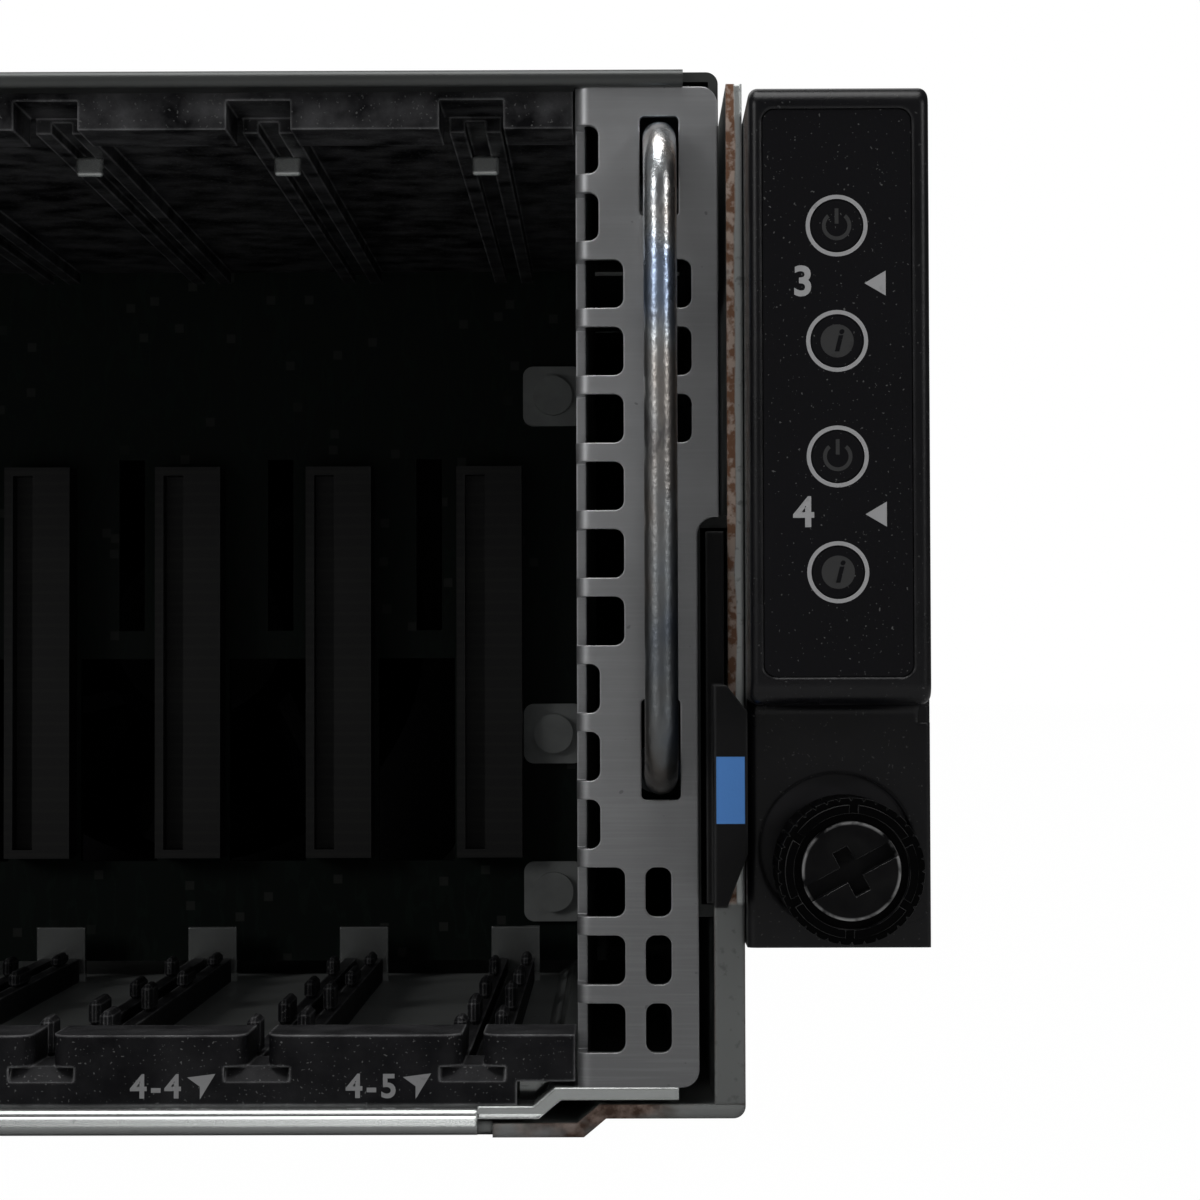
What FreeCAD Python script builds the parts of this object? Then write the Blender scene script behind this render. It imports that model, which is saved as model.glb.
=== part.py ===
"""Multi-node server chassis: a two-unit rack enclosure with a front drive cage, two control ears,
four node sleds, two power supplies and a fan row, as separate named pieces.

Lengths are millimetres. X runs to the right seen from the front, Y to the rear and Z up.
Pieces are drawn with Y measured from the drive cage's front face, then moved so that the
origin lies at the middle of the base.
"""

import FreeCAD, Part
import math
import os
from types import SimpleNamespace

import Sketcher

OUT_FOLDER = "parts"
VECTOR = FreeCAD.Vector

# Driving dimensions: alias, value, what it is.
SIZES = [
    ("chassis_width", 448, "outside of the two side walls"),
    ("overall_width", 480, "outside of the two rack flanges"),
    ("chassis_height", 86.8, "floor to top of the covers"),
    ("chassis_length", 778, "cage front face to the rear edge of the walls"),
    ("wall_sheet", 1.3, "side wall sheet"),
    ("hem_thick", 2.5, "doubled lower part of a side wall"),
    ("hem_height", 18.7, "top of the doubled part"),
    ("pan_sheet", 1.1, "base pan sheet"),
    ("pan_jog", 1.5, "rise of the base pan beside the walls"),
    ("pan_jog_x", 210.9, "half distance between the pan's jogs"),
    ("jog_run", 1.8, "sideways run of a jog"),
    ("pan_round", 1.0, "radius of the base pan's outer edges"),
    ("pan_tab_x", 203.5, "inner end of the pan's front tabs"),
    ("pan_setback", 1.8, "how far the pan's front edge lies behind the lip"),
    ("cover_sheet", 1.2, "top cover sheet"),
    ("cover_gap", 0.4, "gap between neighbouring top sheets"),
    ("play", 0.4, "clearance between sliding boxes"),
    ("cage_sheet", 0.8, "perforated bracket sheet"),
    ("cage_depth", 122, "depth of the drive cage"),
    ("cage_half", 210.4, "half of the drive bay's clear width"),
    ("plate_right", 222.0, "outer edge of the bracket's front plate"),
    ("plate_notch_x", 220.25, "outer edge below the tag notch"),
    ("plate_notch_z", 50.2, "height of the tag notch's step"),
    ("plate_corner", 1.4, "corner radius of the front plate"),
    ("floor_sheet", 1.0, "cage floor sheet"),
    ("roof_sheet", 0.8, "cage roof sheet"),
    ("roof_bend", 1.0, "outer radius of the roof's side bends"),
    ("roof_fold", 1.4, "height of the roof's front hem"),
    ("floor_jog_x", 207.25, "half distance between the cage floor's jogs"),
    ("floor_half", 218.6, "half width of the cage floor"),
    ("roof_skirt", 18, "height of the roof's side skirts"),
    ("roof_hem_half", 219.2, "half length of the roof's front hem"),
    ("lip_half", 202.3, "half length of the rolled front lip"),
    ("lip_front", 1.3, "how far the lip stands before the plate"),
    ("lip_drop", 2.2, "height of the lip"),
    ("lip_round", 0.75, "edge radius of the lip"),
    ("hole_pitch", 5.5, "pitch of the perforations"),
    ("hole_tall", 4.0, "height of a perforation"),
    ("hole_wide", 3.9, "reach of a wide perforation from the bend"),
    ("hole_narrow", 1.9, "reach of a narrow perforation from the bend"),
    ("hole_round", 0.8, "corner radius of a perforation"),
    ("hole_top_z", 80.3, "middle of the highest perforation"),
    ("hole_back", 3.2, "how far a perforation runs into the side of the bend"),
    ("oblong_wide", 2.1, "width of an oblong perforation"),
    ("oblong_high_x", 218.8, "middle of the upper oblong row"),
    ("oblong_low_x", 217.0, "middle of the lower oblong row"),
    ("handle_x", 217.25, "wire handle, distance from the middle"),
    ("wire", 2.7, "wire diameter"),
    ("handle_high", 81.25, "upper leg of the wire handle"),
    ("handle_low", 29.0, "lower leg of the wire handle"),
    ("handle_out", 4.0, "wire centre line before the plate"),
    ("handle_leg", 33, "wire centre line behind the plate"),
    ("handle_head", 2.0, "length of the upset head on each leg"),
    ("handle_head_r", 2.2, "radius of that head"),
    ("handle_bend", 5, "front bend of the wire"),
    ("handle_slot_wide", 3.2, "slot that the wire passes"),
    ("handle_slot_tall", 8.2, "height of that slot"),
    ("handle_slot_past", 1.75, "slot end beyond the leg's centre line"),
    ("slot_pitch", 17.55, "pitch of the drive slots"),
    ("slot_count", 24, "drive slots"),
    ("guide_front", 1.0, "front face of the guide strips"),
    ("guide_strip", 8.0, "depth of the guide strips"),
    ("guide_base", 3.1, "height of the strip below its gaps"),
    ("guide_block", 2.6, "height of a block above the strip"),
    ("guide_gap", 1.7, "gap between two blocks"),
    ("guide_round", 1.8, "radius of a block's front corners"),
    ("guide_ramp", 1.2, "height of the lead-in ramp"),
    ("rail_wide", 4.4, "width of a drive rail"),
    ("rail_tall", 2.7, "height of a drive rail"),
    ("rail_end", 111.5, "rear end of the drive rails"),
    ("top_band", 3.6, "height of the upper guide's front band"),
    ("top_gap", 5.3, "gap in the upper guide's front band"),
    ("top_plate", 1.2, "sheet of the upper guide"),
    ("tab_wide", 5.6, "bent tab behind each rail"),
    ("tab_top", 8.8, "height of those tabs"),
    ("backplane_y", 118, "front face of the drive backplane"),
    ("board_thick", 1.6, "circuit boards"),
    ("socket_wide", 7.6, "drive socket width"),
    ("socket_low", 16.7, "lower end of the drive sockets"),
    ("socket_tall", 45.5, "drive socket length"),
    ("socket_deep", 5.5, "drive socket depth"),
    ("socket_shift", 3.0, "socket beside its slot's middle"),
    ("vent_wide", 9.0, "lower vent in the backplane"),
    ("vent_low", 16.1, "lower end of that vent"),
    ("vent_tall", 23.8, "height of that vent"),
    ("slit_wide", 3.0, "upper slit in the backplane"),
    ("slit_low", 43.2, "lower end of that slit"),
    ("slit_tall", 20.2, "height of that slit"),
    ("pad_size", 7.0, "square washer of a backplane screw"),
    ("pad_thick", 1.2, "its thickness"),
    ("pad_round", 1.2, "its corner radius"),
    ("pad_x", 206.2, "backplane screws, distance from the middle"),
    ("pad_high", 70.7, "upper backplane screws"),
    ("pad_middle", 31.0, "middle backplane screw"),
    ("pad_low", 12.5, "lower backplane screws"),
    ("screw_head", 2.3, "screw head radius"),
    ("ear_left", 224.1, "inner face of the control housing"),
    ("ear_right", 238.2, "outer face of the control housing"),
    ("ear_low", 15.5, "underside of the control housing"),
    ("ear_high", 83.4, "top of the control housing"),
    ("ear_front", 11, "housing front before the plate"),
    ("ear_step_z", 35, "underside of the control face"),
    ("ear_step", 3, "lower face before the plate"),
    ("ear_skirt", 0.6, "how far the lower part stands out beside the control face"),
    ("ear_round", 1.5, "front edge radius of the housing"),
    ("ear_wall", 1.7, "housing wall"),
    ("flange_y", 13, "front face of the rack flange"),
    ("flange_sheet", 1.0, "rack flange sheet"),
    ("flange_leg", 48, "leg of the rack flange along the wall"),
    ("overlay_left", 225.1, "inner edge of the control overlay"),
    ("overlay_right", 236.85, "outer edge of the control overlay"),
    ("overlay_low", 37.1, "lower edge of the control overlay"),
    ("overlay_high", 81.6, "upper edge of the control overlay"),
    ("overlay_sink", 0.5, "depth of the overlay's recess"),
    ("overlay_thick", 0.4, "overlay thickness"),
    ("overlay_round", 1.0, "corner radius of the overlay"),
    ("button_x", 230.95, "buttons, distance from the middle"),
    ("button_high", 72.4, "highest button"),
    ("button_pitch", 9.03, "pitch of the buttons"),
    ("button_r", 2.0, "button cap radius"),
    ("button_gap", 0.08, "gap round a button cap"),
    ("button_flange", 2.6, "radius of the collar behind the wall"),
    ("button_collar", 0.6, "thickness of that collar"),
    ("switch_gap", 0.8, "free space behind a button"),
    ("switch_size", 3.2, "tact switch"),
    ("switch_tall", 1.0, "height of a tact switch"),
    ("screw_x", 231.8, "thumbscrew, distance from the middle"),
    ("screw_z", 22.1, "thumbscrew axis height"),
    ("knob_r", 5.7, "thumbscrew knob radius"),
    ("knob_front", 12.4, "knob front before the plate"),
    ("knob_dish", 1.0, "dish in the knob's front"),
    ("knob_rim", 4.5, "inner radius of the ring on the knob's front"),
    ("knob_ring", 5.15, "outer radius of that ring"),
    ("knob_step", 0.45, "set-back of the knurled edge behind the ring"),
    ("ring_gap", 0.7, "gap between the ring's segments"),
    ("ring_gaps", 3, "gaps right across the ring"),
    ("knob_grooves", 36, "knurl grooves"),
    ("groove", 0.5, "knurl groove size"),
    ("stud_head", 3.85, "screw head radius in the knob"),
    ("stud_r", 2.45, "screw thread radius"),
    ("stud_neck", 2.2, "plain neck of the screw"),
    ("stud_reach", 10, "shank behind the rack flange"),
    ("slot_cut", 1.3, "driver slot in the screw head"),
    ("slot_tilt", 28, "tilt of the driver slot in degrees"),
    ("recess_r", 6.2, "recess round the knob"),
    ("recess_x", 231.3, "middle of that recess, distance from the middle"),
    ("recess_z", 23.3, "middle of that recess"),
    ("recess_deep", 2, "depth of that recess"),
    ("tag_left", 220.9, "inner face of the tag card"),
    ("tag_thick", 1.45, "tag card thickness"),
    ("tag_low", 18.95, "lower edge of the tag card"),
    ("tag_tall", 30.05, "height of the tag card"),
    ("tag_front", 1.2, "card front before the plate"),
    ("tag_length", 76, "length of the tag card"),
    ("grip_out", 6.5, "tag grip before the plate"),
    ("grip_left", 221.4, "inner face of the tag grip"),
    ("grip_right", 224.0, "outer face of the tag grip"),
    ("grip_tall", 17.6, "height of the tag grip"),
    ("grip_taper", 4.2, "tapered end of the grip"),
    ("channel_sheet", 1.0, "wall of the tag channel"),
    ("channel_length", 84, "length of the tag channel"),
    ("fan_size", 60, "fan frame side"),
    ("fan_deep", 40, "fan frame depth"),
    ("fan_bore", 28.2, "fan bore radius"),
    ("fan_hub", 13, "fan hub radius"),
    ("fan_corner", 3.2, "corner radius of a fan frame"),
    ("fan_pitch", 108, "pitch of the fans"),
    ("fan_blades", 7, "blades of a rotor"),
    ("blade_thick", 2.0, "blade thickness"),
    ("stator", 4.0, "thickness of the hub and struts behind a rotor"),
    ("strut", 8.0, "width of a strut"),
    ("tray_y", 172, "front face of the fan wall"),
    ("tray_half", 210, "half width of the fan wall"),
    ("tray_foot", 13, "foot of the fan wall on the pan"),
    ("cover_split", 183, "seam between the fan cover and the rear cover"),
    ("dimple_wide", 26, "finger dimple in the fan cover"),
    ("dimple_long", 13, "its length"),
    ("dimple_x", 108, "its distance from the middle"),
    ("dimple_deep", 0.8, "its depth"),
    ("groove_wide", 224, "grip groove in the rear cover"),
    ("groove_long", 6.5, "its length"),
    ("groove_deep", 0.4, "its depth"),
    ("groove_edge", 6.5, "its distance from the rear edge"),
    ("dimple_round", 2.5, "corner radius of dimple and groove"),
    ("midplane_y", 196, "front face of the midplane"),
    ("midplane_half", 221, "half width of the midplane"),
    ("link_deep", 7, "depth of a midplane socket"),
    ("link_wide", 42, "width of a midplane socket"),
    ("link_tall", 9, "height of a midplane socket"),
    ("link_x", 135, "midplane sockets, distance from the middle"),
    ("air_wide", 42, "air opening in the midplane"),
    ("air_tall", 22, "its height"),
    ("air_rise", 14, "its height above the bay's floor"),
    ("air_inner", 102, "inner air opening, distance from the middle"),
    ("air_outer", 188, "outer air opening, distance from the middle"),
    ("bus_x", 22, "bus bars, distance from the middle"),
    ("bus_thick", 3, "bus bar thickness"),
    ("bus_tall", 13, "bus bar height"),
    ("column_half", 44, "half of the supply column's clear width"),
    ("divider_sheet", 1.2, "divider sheet"),
    ("bay_front", 206, "front end of the rear bays"),
    ("shelf_z", 42.5, "underside of the bay shelves"),
    ("shelf_sheet", 1.0, "shelf sheet"),
    ("sled_wide", 174.4, "node sled width"),
    ("sled_tall", 38.6, "node sled height"),
    ("sled_sheet", 1.0, "node sled sheet"),
    ("sled_front", 209, "front end of a node sled"),
    ("sled_vent", 4.2, "vent hole in a sled's rear panel"),
    ("sled_vent_pitch", 6.0, "pitch of those holes"),
    ("lever_long", 44, "sled lever length"),
    ("lever_thick", 2.6, "sled lever thickness"),
    ("lever_tall", 11, "sled lever height"),
    ("lever_boss", 3, "lever boss radius"),
    ("lever_gap", 0.4, "lever clear of the rear panel"),
    ("pull_out", 17, "sled pull loop behind the panel"),
    ("pull_wide", 52, "sled pull loop width"),
    ("pull_thick", 3, "sled pull loop bar"),
    ("pull_edge", 12, "sled pull loop from the tray's edge"),
    ("vent_columns", 26, "vent holes in the upper row"),
    ("vent_extra", 7, "vent holes in the lower row"),
    ("port_a_x", 55, "network port, left edge in the panel"),
    ("port_a_wide", 15, "its width"),
    ("port_a_tall", 13, "its height"),
    ("port_b_x", 73, "service port, left edge"),
    ("port_b_wide", 14, "its width"),
    ("port_b_tall", 7, "its height"),
    ("port_c_x", 90, "display port, left edge"),
    ("port_c_wide", 17, "its width"),
    ("port_c_tall", 7, "its height"),
    ("port_long", 19, "length of a port shell"),
    ("port_shell", 1.0, "wall of a port shell"),
    ("port_open", 13, "depth of a port's mouth"),
    ("port_fit", 0.2, "gap between port and panel"),
    ("board_rise", 3, "sled board above its tray"),
    ("board_edge", 6.5, "sled board inside its tray"),
    ("spacer_r", 2.5, "board spacer radius"),
    ("spacer_in", 14, "spacers from the tray's sides"),
    ("spacer_end", 40, "spacers from the tray's ends"),
    ("sink_size", 78, "heat sink length and width"),
    ("sink_top", 35.6, "top of the heat sinks in the tray"),
    ("sink_base", 4, "solid base of a heat sink"),
    ("sink_fins", 7, "heat sink fins"),
    ("sink_first", 65, "first heat sink behind the tray's front"),
    ("sink_step", 205, "second heat sink behind the first"),
    ("memory_first", 157, "first memory module behind the tray's front"),
    ("memory_pitch", 8.8, "pitch of the memory modules"),
    ("memory_count", 8, "memory modules"),
    ("memory_long", 140, "length of a memory module"),
    ("memory_top", 32.6, "top of the memory modules in the tray"),
    ("supply_wide", 86, "power supply width"),
    ("supply_tall", 39.6, "power supply height"),
    ("supply_long", 200, "power supply length"),
    ("supply_board", 566, "front face of the power board"),
    ("bail_out", 22, "supply handle behind the case"),
    ("bail_wide", 46, "supply handle width"),
    ("bail_thick", 4, "supply handle bar"),
    ("bail_edge", 14, "supply handle from the case's edge"),
    ("inlet_wide", 26, "power inlet"),
    ("inlet_tall", 23.6, "its height"),
    ("inlet_edge", 8, "its distance from the case's edge"),
    ("inlet_deep", 17, "its depth"),
    ("inlet_round", 3, "its corner radius"),
    ("slit_thick", 3, "slit of the supply's grille"),
    ("slit_pitch", 5.4, "pitch of those slits"),
    ("slit_count", 7, "slits of the grille"),
    ("slit_edge", 3, "their distance from the case's edges"),
    ("latch_long", 17, "supply latch length"),
    ("latch_tall", 15.4, "supply latch height"),
]

DOC = FreeCAD.newDocument("server_chassis")
SHEET = DOC.addObject("Spreadsheet::Sheet", "Sizes")


class Size:
    """A length that also keeps the expression by which it follows from the sheet."""

    def __init__(self, text, value):
        self.text = text
        self.value = value

    def __add__(self, other):
        other = size(other)
        return Size(f"({self.text} + {other.text})", self.value + other.value)

    def __sub__(self, other):
        other = size(other)
        return Size(f"({self.text} - {other.text})", self.value - other.value)

    def __mul__(self, other):
        other = size(other)
        return Size(f"({self.text} * {other.text})", self.value * other.value)

    def __truediv__(self, other):
        other = size(other)
        return Size(f"({self.text} / {other.text})", self.value / other.value)

    def __neg__(self):
        return Size(f"(-1 * {self.text})", -self.value)

    def __radd__(self, other):
        return size(other) + self

    def __rsub__(self, other):
        return size(other) - self

    def __rmul__(self, other):
        return size(other) * self


def size(value):
    """A plain number as a Size; a Size stays as it is."""
    return value if isinstance(value, Size) else Size(repr(value), value)


def fill_sheet():
    """Writes the driving dimensions to the sheet and returns them by name."""
    named = {}
    for row, (alias, value, note) in enumerate(SIZES, start=1):
        SHEET.set(f"A{row}", str(value))
        SHEET.setAlias(f"A{row}", alias)
        SHEET.set(f"B{row}", note)
        named[alias] = Size(f"Sizes.{alias}", value)
    DOC.recompute()
    return SimpleNamespace(**named)


S = fill_sheet()

# Places that several pieces share.
WALL_OUT = S.chassis_width / 2
WALL_IN = WALL_OUT - S.wall_sheet
COVER_LOW = S.chassis_height - S.cover_sheet
PAN_TOP = S.pan_jog + S.pan_sheet
FLOOR_LOW = S.pan_sheet + S.play
FLOOR_TOP = FLOOR_LOW + S.floor_sheet
SIDE_FLOOR_TOP = FLOOR_TOP + S.pan_jog
ROOF_LOW = S.chassis_height - S.roof_sheet
FIRST_SLOT = S.slot_pitch * (S.slot_count - 1) / 2
REAR_REACH = S.chassis_length + S.bail_out
ORIGIN_SHIFT = (S.knob_front - REAR_REACH) / 2
FLANGE_BACK = S.flange_y + S.flange_sheet
SLED_LEFT = S.column_half + S.divider_sheet + S.play * 3.5
SHELF_TOP = S.shelf_z + S.shelf_sheet
LOW_BAY = PAN_TOP + S.play
HIGH_BAY = SHELF_TOP + S.play * 1.5


def bind(item, prop, value):
    """Sets a property from a Size and ties it to the sheet."""
    value = size(value)
    item.setExpression(prop, value.text)


def new_body(name):
    """An empty body, moved so that the origin lies at the middle of the base."""
    body = DOC.addObject("PartDesign::Body", name)
    body.Label = name
    place(body)
    return body


def place(item, x=0, y=0, z=0):
    """Places a piece whose Y was measured from the cage's front face."""
    bind(item, "Placement.Base.x", x)
    bind(item, "Placement.Base.y", ORIGIN_SHIFT + y)
    bind(item, "Placement.Base.z", z)


def origin_part(body, role):
    """An origin plane or axis of a body."""
    return next(part for part in body.Origin.OriginFeatures if part.Role == role)


def new_sketch(body, plane, height):
    """A sketch on an origin plane, moved along the plane's normal."""
    sketch = body.newObject("Sketcher::SketchObject", "outline")
    sketch.AttachmentSupport = [(origin_part(body, plane), "")]
    sketch.MapMode = "FlatFace"
    bind(sketch, "AttachmentOffset.Base.z", height)
    return sketch


def pin_point(sketch, geometry, end, u, v):
    """Fixes one end of a sketch edge at a place worked out from the sheet."""
    for kind, value in (("DistanceX", u), ("DistanceY", v)):
        index = sketch.addConstraint(
            Sketcher.Constraint(kind, -1, 1, geometry, end, value.value))
        sketch.setExpression(f"Constraints[{index}]", value.text)


def unit(a, b):
    """Direction from corner a to corner b as two whole numbers, for edges along the axes."""
    du, dv = b[0].value - a[0].value, b[1].value - a[1].value
    length = math.hypot(du, dv)
    return round(du / length), round(dv / length)


def rounded_corner(before, corner, after):
    """The two points where a corner's arc meets its edges, its middle and whether it turns left."""
    u, v, radius = corner
    into, out = unit(before, corner), unit(corner, after)
    first = (u - radius * into[0], v - radius * into[1])
    last = (u + radius * out[0], v + radius * out[1])
    middle = (first[0] + radius * out[0], first[1] + radius * out[1])
    turns_left = into[0] * out[1] - into[1] * out[0] > 0
    return first, last, middle, turns_left


def draw(sketch, corners, closed=True):
    """Draws lines between corners (u, v) or (u, v, radius), with arcs where there is a radius."""
    corners = [tuple(size(value) for value in corner) for corner in corners]
    count = len(corners)
    points, arcs = [], []
    for index, corner in enumerate(corners):
        inner = closed or 0 < index < count - 1
        if len(corner) == 3 and inner:
            first, last, middle, left = rounded_corner(
                corners[index - 1], corner, corners[(index + 1) % count])
            points += [first, last]
            arcs.append((len(points) - 2, middle, corner[2], left))
        else:
            points.append(corner[:2])
    arc_at = {index: rest for index, *rest in arcs}
    edges = []
    for index in range(len(points) if closed else len(points) - 1):
        start, stop = points[index], points[(index + 1) % len(points)]
        edges.append(add_edge(sketch, start, stop, arc_at.get(index)))
    join_edges(sketch, edges, points, closed)
    return sketch


def add_edge(sketch, start, stop, arc):
    """Adds a line, or an arc about a middle, and says which ends come first and last."""
    if arc is None:
        line = Part.LineSegment(VECTOR(start[0].value, start[1].value, 0),
                                VECTOR(stop[0].value, stop[1].value, 0))
        return sketch.addGeometry(line, False), 1, 2, False
    middle, radius, left = arc
    centre = VECTOR(middle[0].value, middle[1].value, 0)
    angles = [math.atan2(p[1].value - centre.y, p[0].value - centre.x) for p in (start, stop)]
    if not left:
        angles.reverse()
    circle = Part.Circle(centre, VECTOR(0, 0, 1), radius.value)
    geometry = sketch.addGeometry(Part.ArcOfCircle(circle, *angles), False)
    return (geometry, 1, 2, True) if left else (geometry, 2, 1, True)


def join_edges(sketch, edges, points, closed):
    """Joins neighbouring edges, makes arcs run on from lines and fixes every corner."""
    for index, (geometry, first, last, is_arc) in enumerate(edges):
        pin_point(sketch, geometry, first, *points[index])
        if not closed and index == len(edges) - 1:
            pin_point(sketch, geometry, last, *points[-1])
            continue
        after, after_first, _, after_arc = edges[(index + 1) % len(edges)]
        kind = "Tangent" if after_arc and not is_arc else "Coincident"
        sketch.addConstraint(
            Sketcher.Constraint(kind, geometry, last, after, after_first))


def draw_circle(sketch, u, v, radius):
    """A circle whose middle and radius follow the sheet."""
    u, v, radius = size(u), size(v), size(radius)
    circle = Part.Circle(VECTOR(u.value, v.value, 0), VECTOR(0, 0, 1), radius.value)
    geometry = sketch.addGeometry(circle, False)
    pin_point(sketch, geometry, 3, u, v)
    index = sketch.addConstraint(Sketcher.Constraint("Radius", geometry, radius.value))
    sketch.setExpression(f"Constraints[{index}]", radius.text)
    return sketch


def rectangle(u0, u1, v0, v1, radius=None):
    """Corners of an upright rectangle, all with one radius."""
    corners = [(u0, v0), (u1, v0), (u1, v1), (u0, v1)]
    return corners if radius is None else [(u, v, radius) for u, v in corners]


def tilted(corners, degrees):
    """Corners turned about the sketch's middle."""
    across, up = f"cos({degrees.text})", f"sin({degrees.text})"
    angle = math.radians(degrees.value)
    across = Size(across, math.cos(angle))
    up = Size(up, math.sin(angle))
    return [(u * across - v * up, u * up + v * across) for u, v in corners]


def outline(body, plane, shape, height):
    """A sketch of corners, or of circles given as (u, v, radius) in a dict's 'circles'."""
    sketch = new_sketch(body, plane, height)
    if isinstance(shape, dict):
        for circle in shape["circles"]:
            draw_circle(sketch, *circle)
        return sketch
    return draw(sketch, shape)


def add(body, plane, shape, low, high):
    """Pads an outline from low to high along the plane's axis (XZ_Plane faces -Y)."""
    low, high = size(low), size(high)
    sketch = outline(body, plane, shape, -high if plane == "XZ_Plane" else low)
    pad = body.newObject("PartDesign::Pad", "pad")
    pad.Profile = sketch
    bind(pad, "Length", high - low)
    DOC.recompute()
    return pad


def cut(body, plane, shape, low, high):
    """Cuts an outline out of a body from low to high, and makes sure that it cuts."""
    low, high = size(low), size(high)
    before = body.Shape.Volume
    sketch = outline(body, plane, shape, -low if plane == "XZ_Plane" else high)
    pocket = body.newObject("PartDesign::Pocket", "pocket")
    pocket.Profile = sketch
    bind(pocket, "Length", high - low)
    DOC.recompute()
    if body.Shape.Volume >= before - 1e-6:
        raise RuntimeError(f"a cut in {body.Label} removes nothing")
    return pocket


def row(body, features, axis, pitch, count, reverse=False):
    """Repeats features along an origin axis."""
    count = size(count)
    pattern = body.newObject("PartDesign::LinearPattern", "row")
    pattern.Originals = features if isinstance(features, list) else [features]
    pattern.Direction = (origin_part(body, f"{axis}_Axis"), [""])
    pattern.Reversed = reverse
    bind(pattern, "Length", pitch * (count - 1))
    bind(pattern, "Occurrences", count)
    body.Tip = pattern
    DOC.recompute()
    return pattern


def ring(body, feature, count):
    """Repeats a feature round the body's Y axis."""
    pattern = body.newObject("PartDesign::PolarPattern", "ring")
    pattern.Originals = [feature]
    pattern.Axis = (origin_part(body, "Y_Axis"), [""])
    pattern.Angle = 360
    bind(pattern, "Occurrences", count)
    body.Tip = pattern
    DOC.recompute()
    return pattern


def revolve(body, corners):
    """Turns an outline (radius, y) round the body's Y axis."""
    sketch = draw(new_sketch(body, "XY_Plane", 0), corners)
    turned = body.newObject("PartDesign::Revolution", "turned")
    turned.Profile = sketch
    turned.ReferenceAxis = (sketch, ["V_Axis"])
    turned.Angle = 360
    DOC.recompute()
    return turned


def round_edges(body, radius, wanted):
    """Fillets the edges of a body that the test picks."""
    tip = body.Tip
    names = [f"Edge{n}" for n, edge in enumerate(tip.Shape.Edges, start=1) if wanted(edge)]
    fillet = body.newObject("PartDesign::Fillet", "rounded")
    fillet.Base = (tip, names)
    bind(fillet, "Radius", radius)
    DOC.recompute()
    return fillet


def mirror(name, source):
    """The piece's other hand, across the middle plane."""
    other = DOC.addObject("Part::Mirroring", name)
    other.Label = name
    other.Source = source
    other.Normal = VECTOR(1, 0, 0)
    other.Base = VECTOR(0, 0, 0)
    return other


def group(name, members):
    """Several solids that make one node."""
    made = DOC.addObject("Part::Compound", name)
    made.Label = name
    made.Links = members
    return made


def copy(name, source, x=0, z=0):
    """The same piece again, moved sideways or up."""
    made = group(name, [source])
    bind(made, "Placement.Base.x", x)
    bind(made, "Placement.Base.z", z)
    return made


def base_pan():
    body = new_body("base_pan")
    jog_in = S.pan_jog_x
    jog_out = S.pan_jog_x + S.jog_run
    slope = S.pan_sheet / 2
    edge = S.pan_round
    under = [(-WALL_OUT, S.pan_jog, edge), (-jog_out, S.pan_jog), (-jog_in, 0), (jog_in, 0),
             (jog_out, S.pan_jog), (WALL_OUT, S.pan_jog, edge)]
    over = [(WALL_OUT, PAN_TOP), (jog_out - slope, PAN_TOP), (jog_in - slope, S.pan_sheet),
            (-jog_in + slope, S.pan_sheet), (-jog_out + slope, PAN_TOP), (-WALL_OUT, PAN_TOP)]
    add(body, "XZ_Plane", under + over, 0, S.chassis_length)
    cut(body, "XY_Plane", rectangle(-S.pan_tab_x, S.pan_tab_x, -1, S.pan_setback), 0, PAN_TOP)
    return body


def side_wall():
    body = new_body("side_wall_right")
    hem_in = WALL_OUT - S.hem_thick
    profile = [(hem_in, PAN_TOP), (WALL_OUT, PAN_TOP), (WALL_OUT, COVER_LOW),
               (WALL_IN, COVER_LOW), (WALL_IN, S.hem_height), (hem_in, S.hem_height)]
    add(body, "XZ_Plane", profile, 0, S.chassis_length)
    return body


def rack_flange():
    body = new_body("rack_flange_right")
    edge = S.overall_width / 2
    leg = WALL_OUT + S.flange_sheet
    profile = [(WALL_OUT, S.flange_y), (edge, S.flange_y), (edge, FLANGE_BACK),
               (leg, FLANGE_BACK), (leg, S.flange_y + S.flange_leg),
               (WALL_OUT, S.flange_y + S.flange_leg)]
    add(body, "XY_Plane", profile, S.ear_low, S.ear_high)
    hole = {"circles": [(S.screw_x, S.screw_z, S.stud_r + S.play)]}
    cut(body, "XZ_Plane", hole, S.flange_y - 1, FLANGE_BACK + 1)
    return body


def button_heights():
    """Heights of the four buttons of one ear, from the top."""
    return [S.button_high - S.button_pitch * step for step in range(4)]


def button_holes(radius):
    return {"circles": [(S.button_x, z, radius) for z in button_heights()]}


FACE_Y = -S.ear_front
RECESS_Y = FACE_Y + S.overlay_sink
CAVITY_Y = RECESS_Y + S.ear_wall


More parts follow.
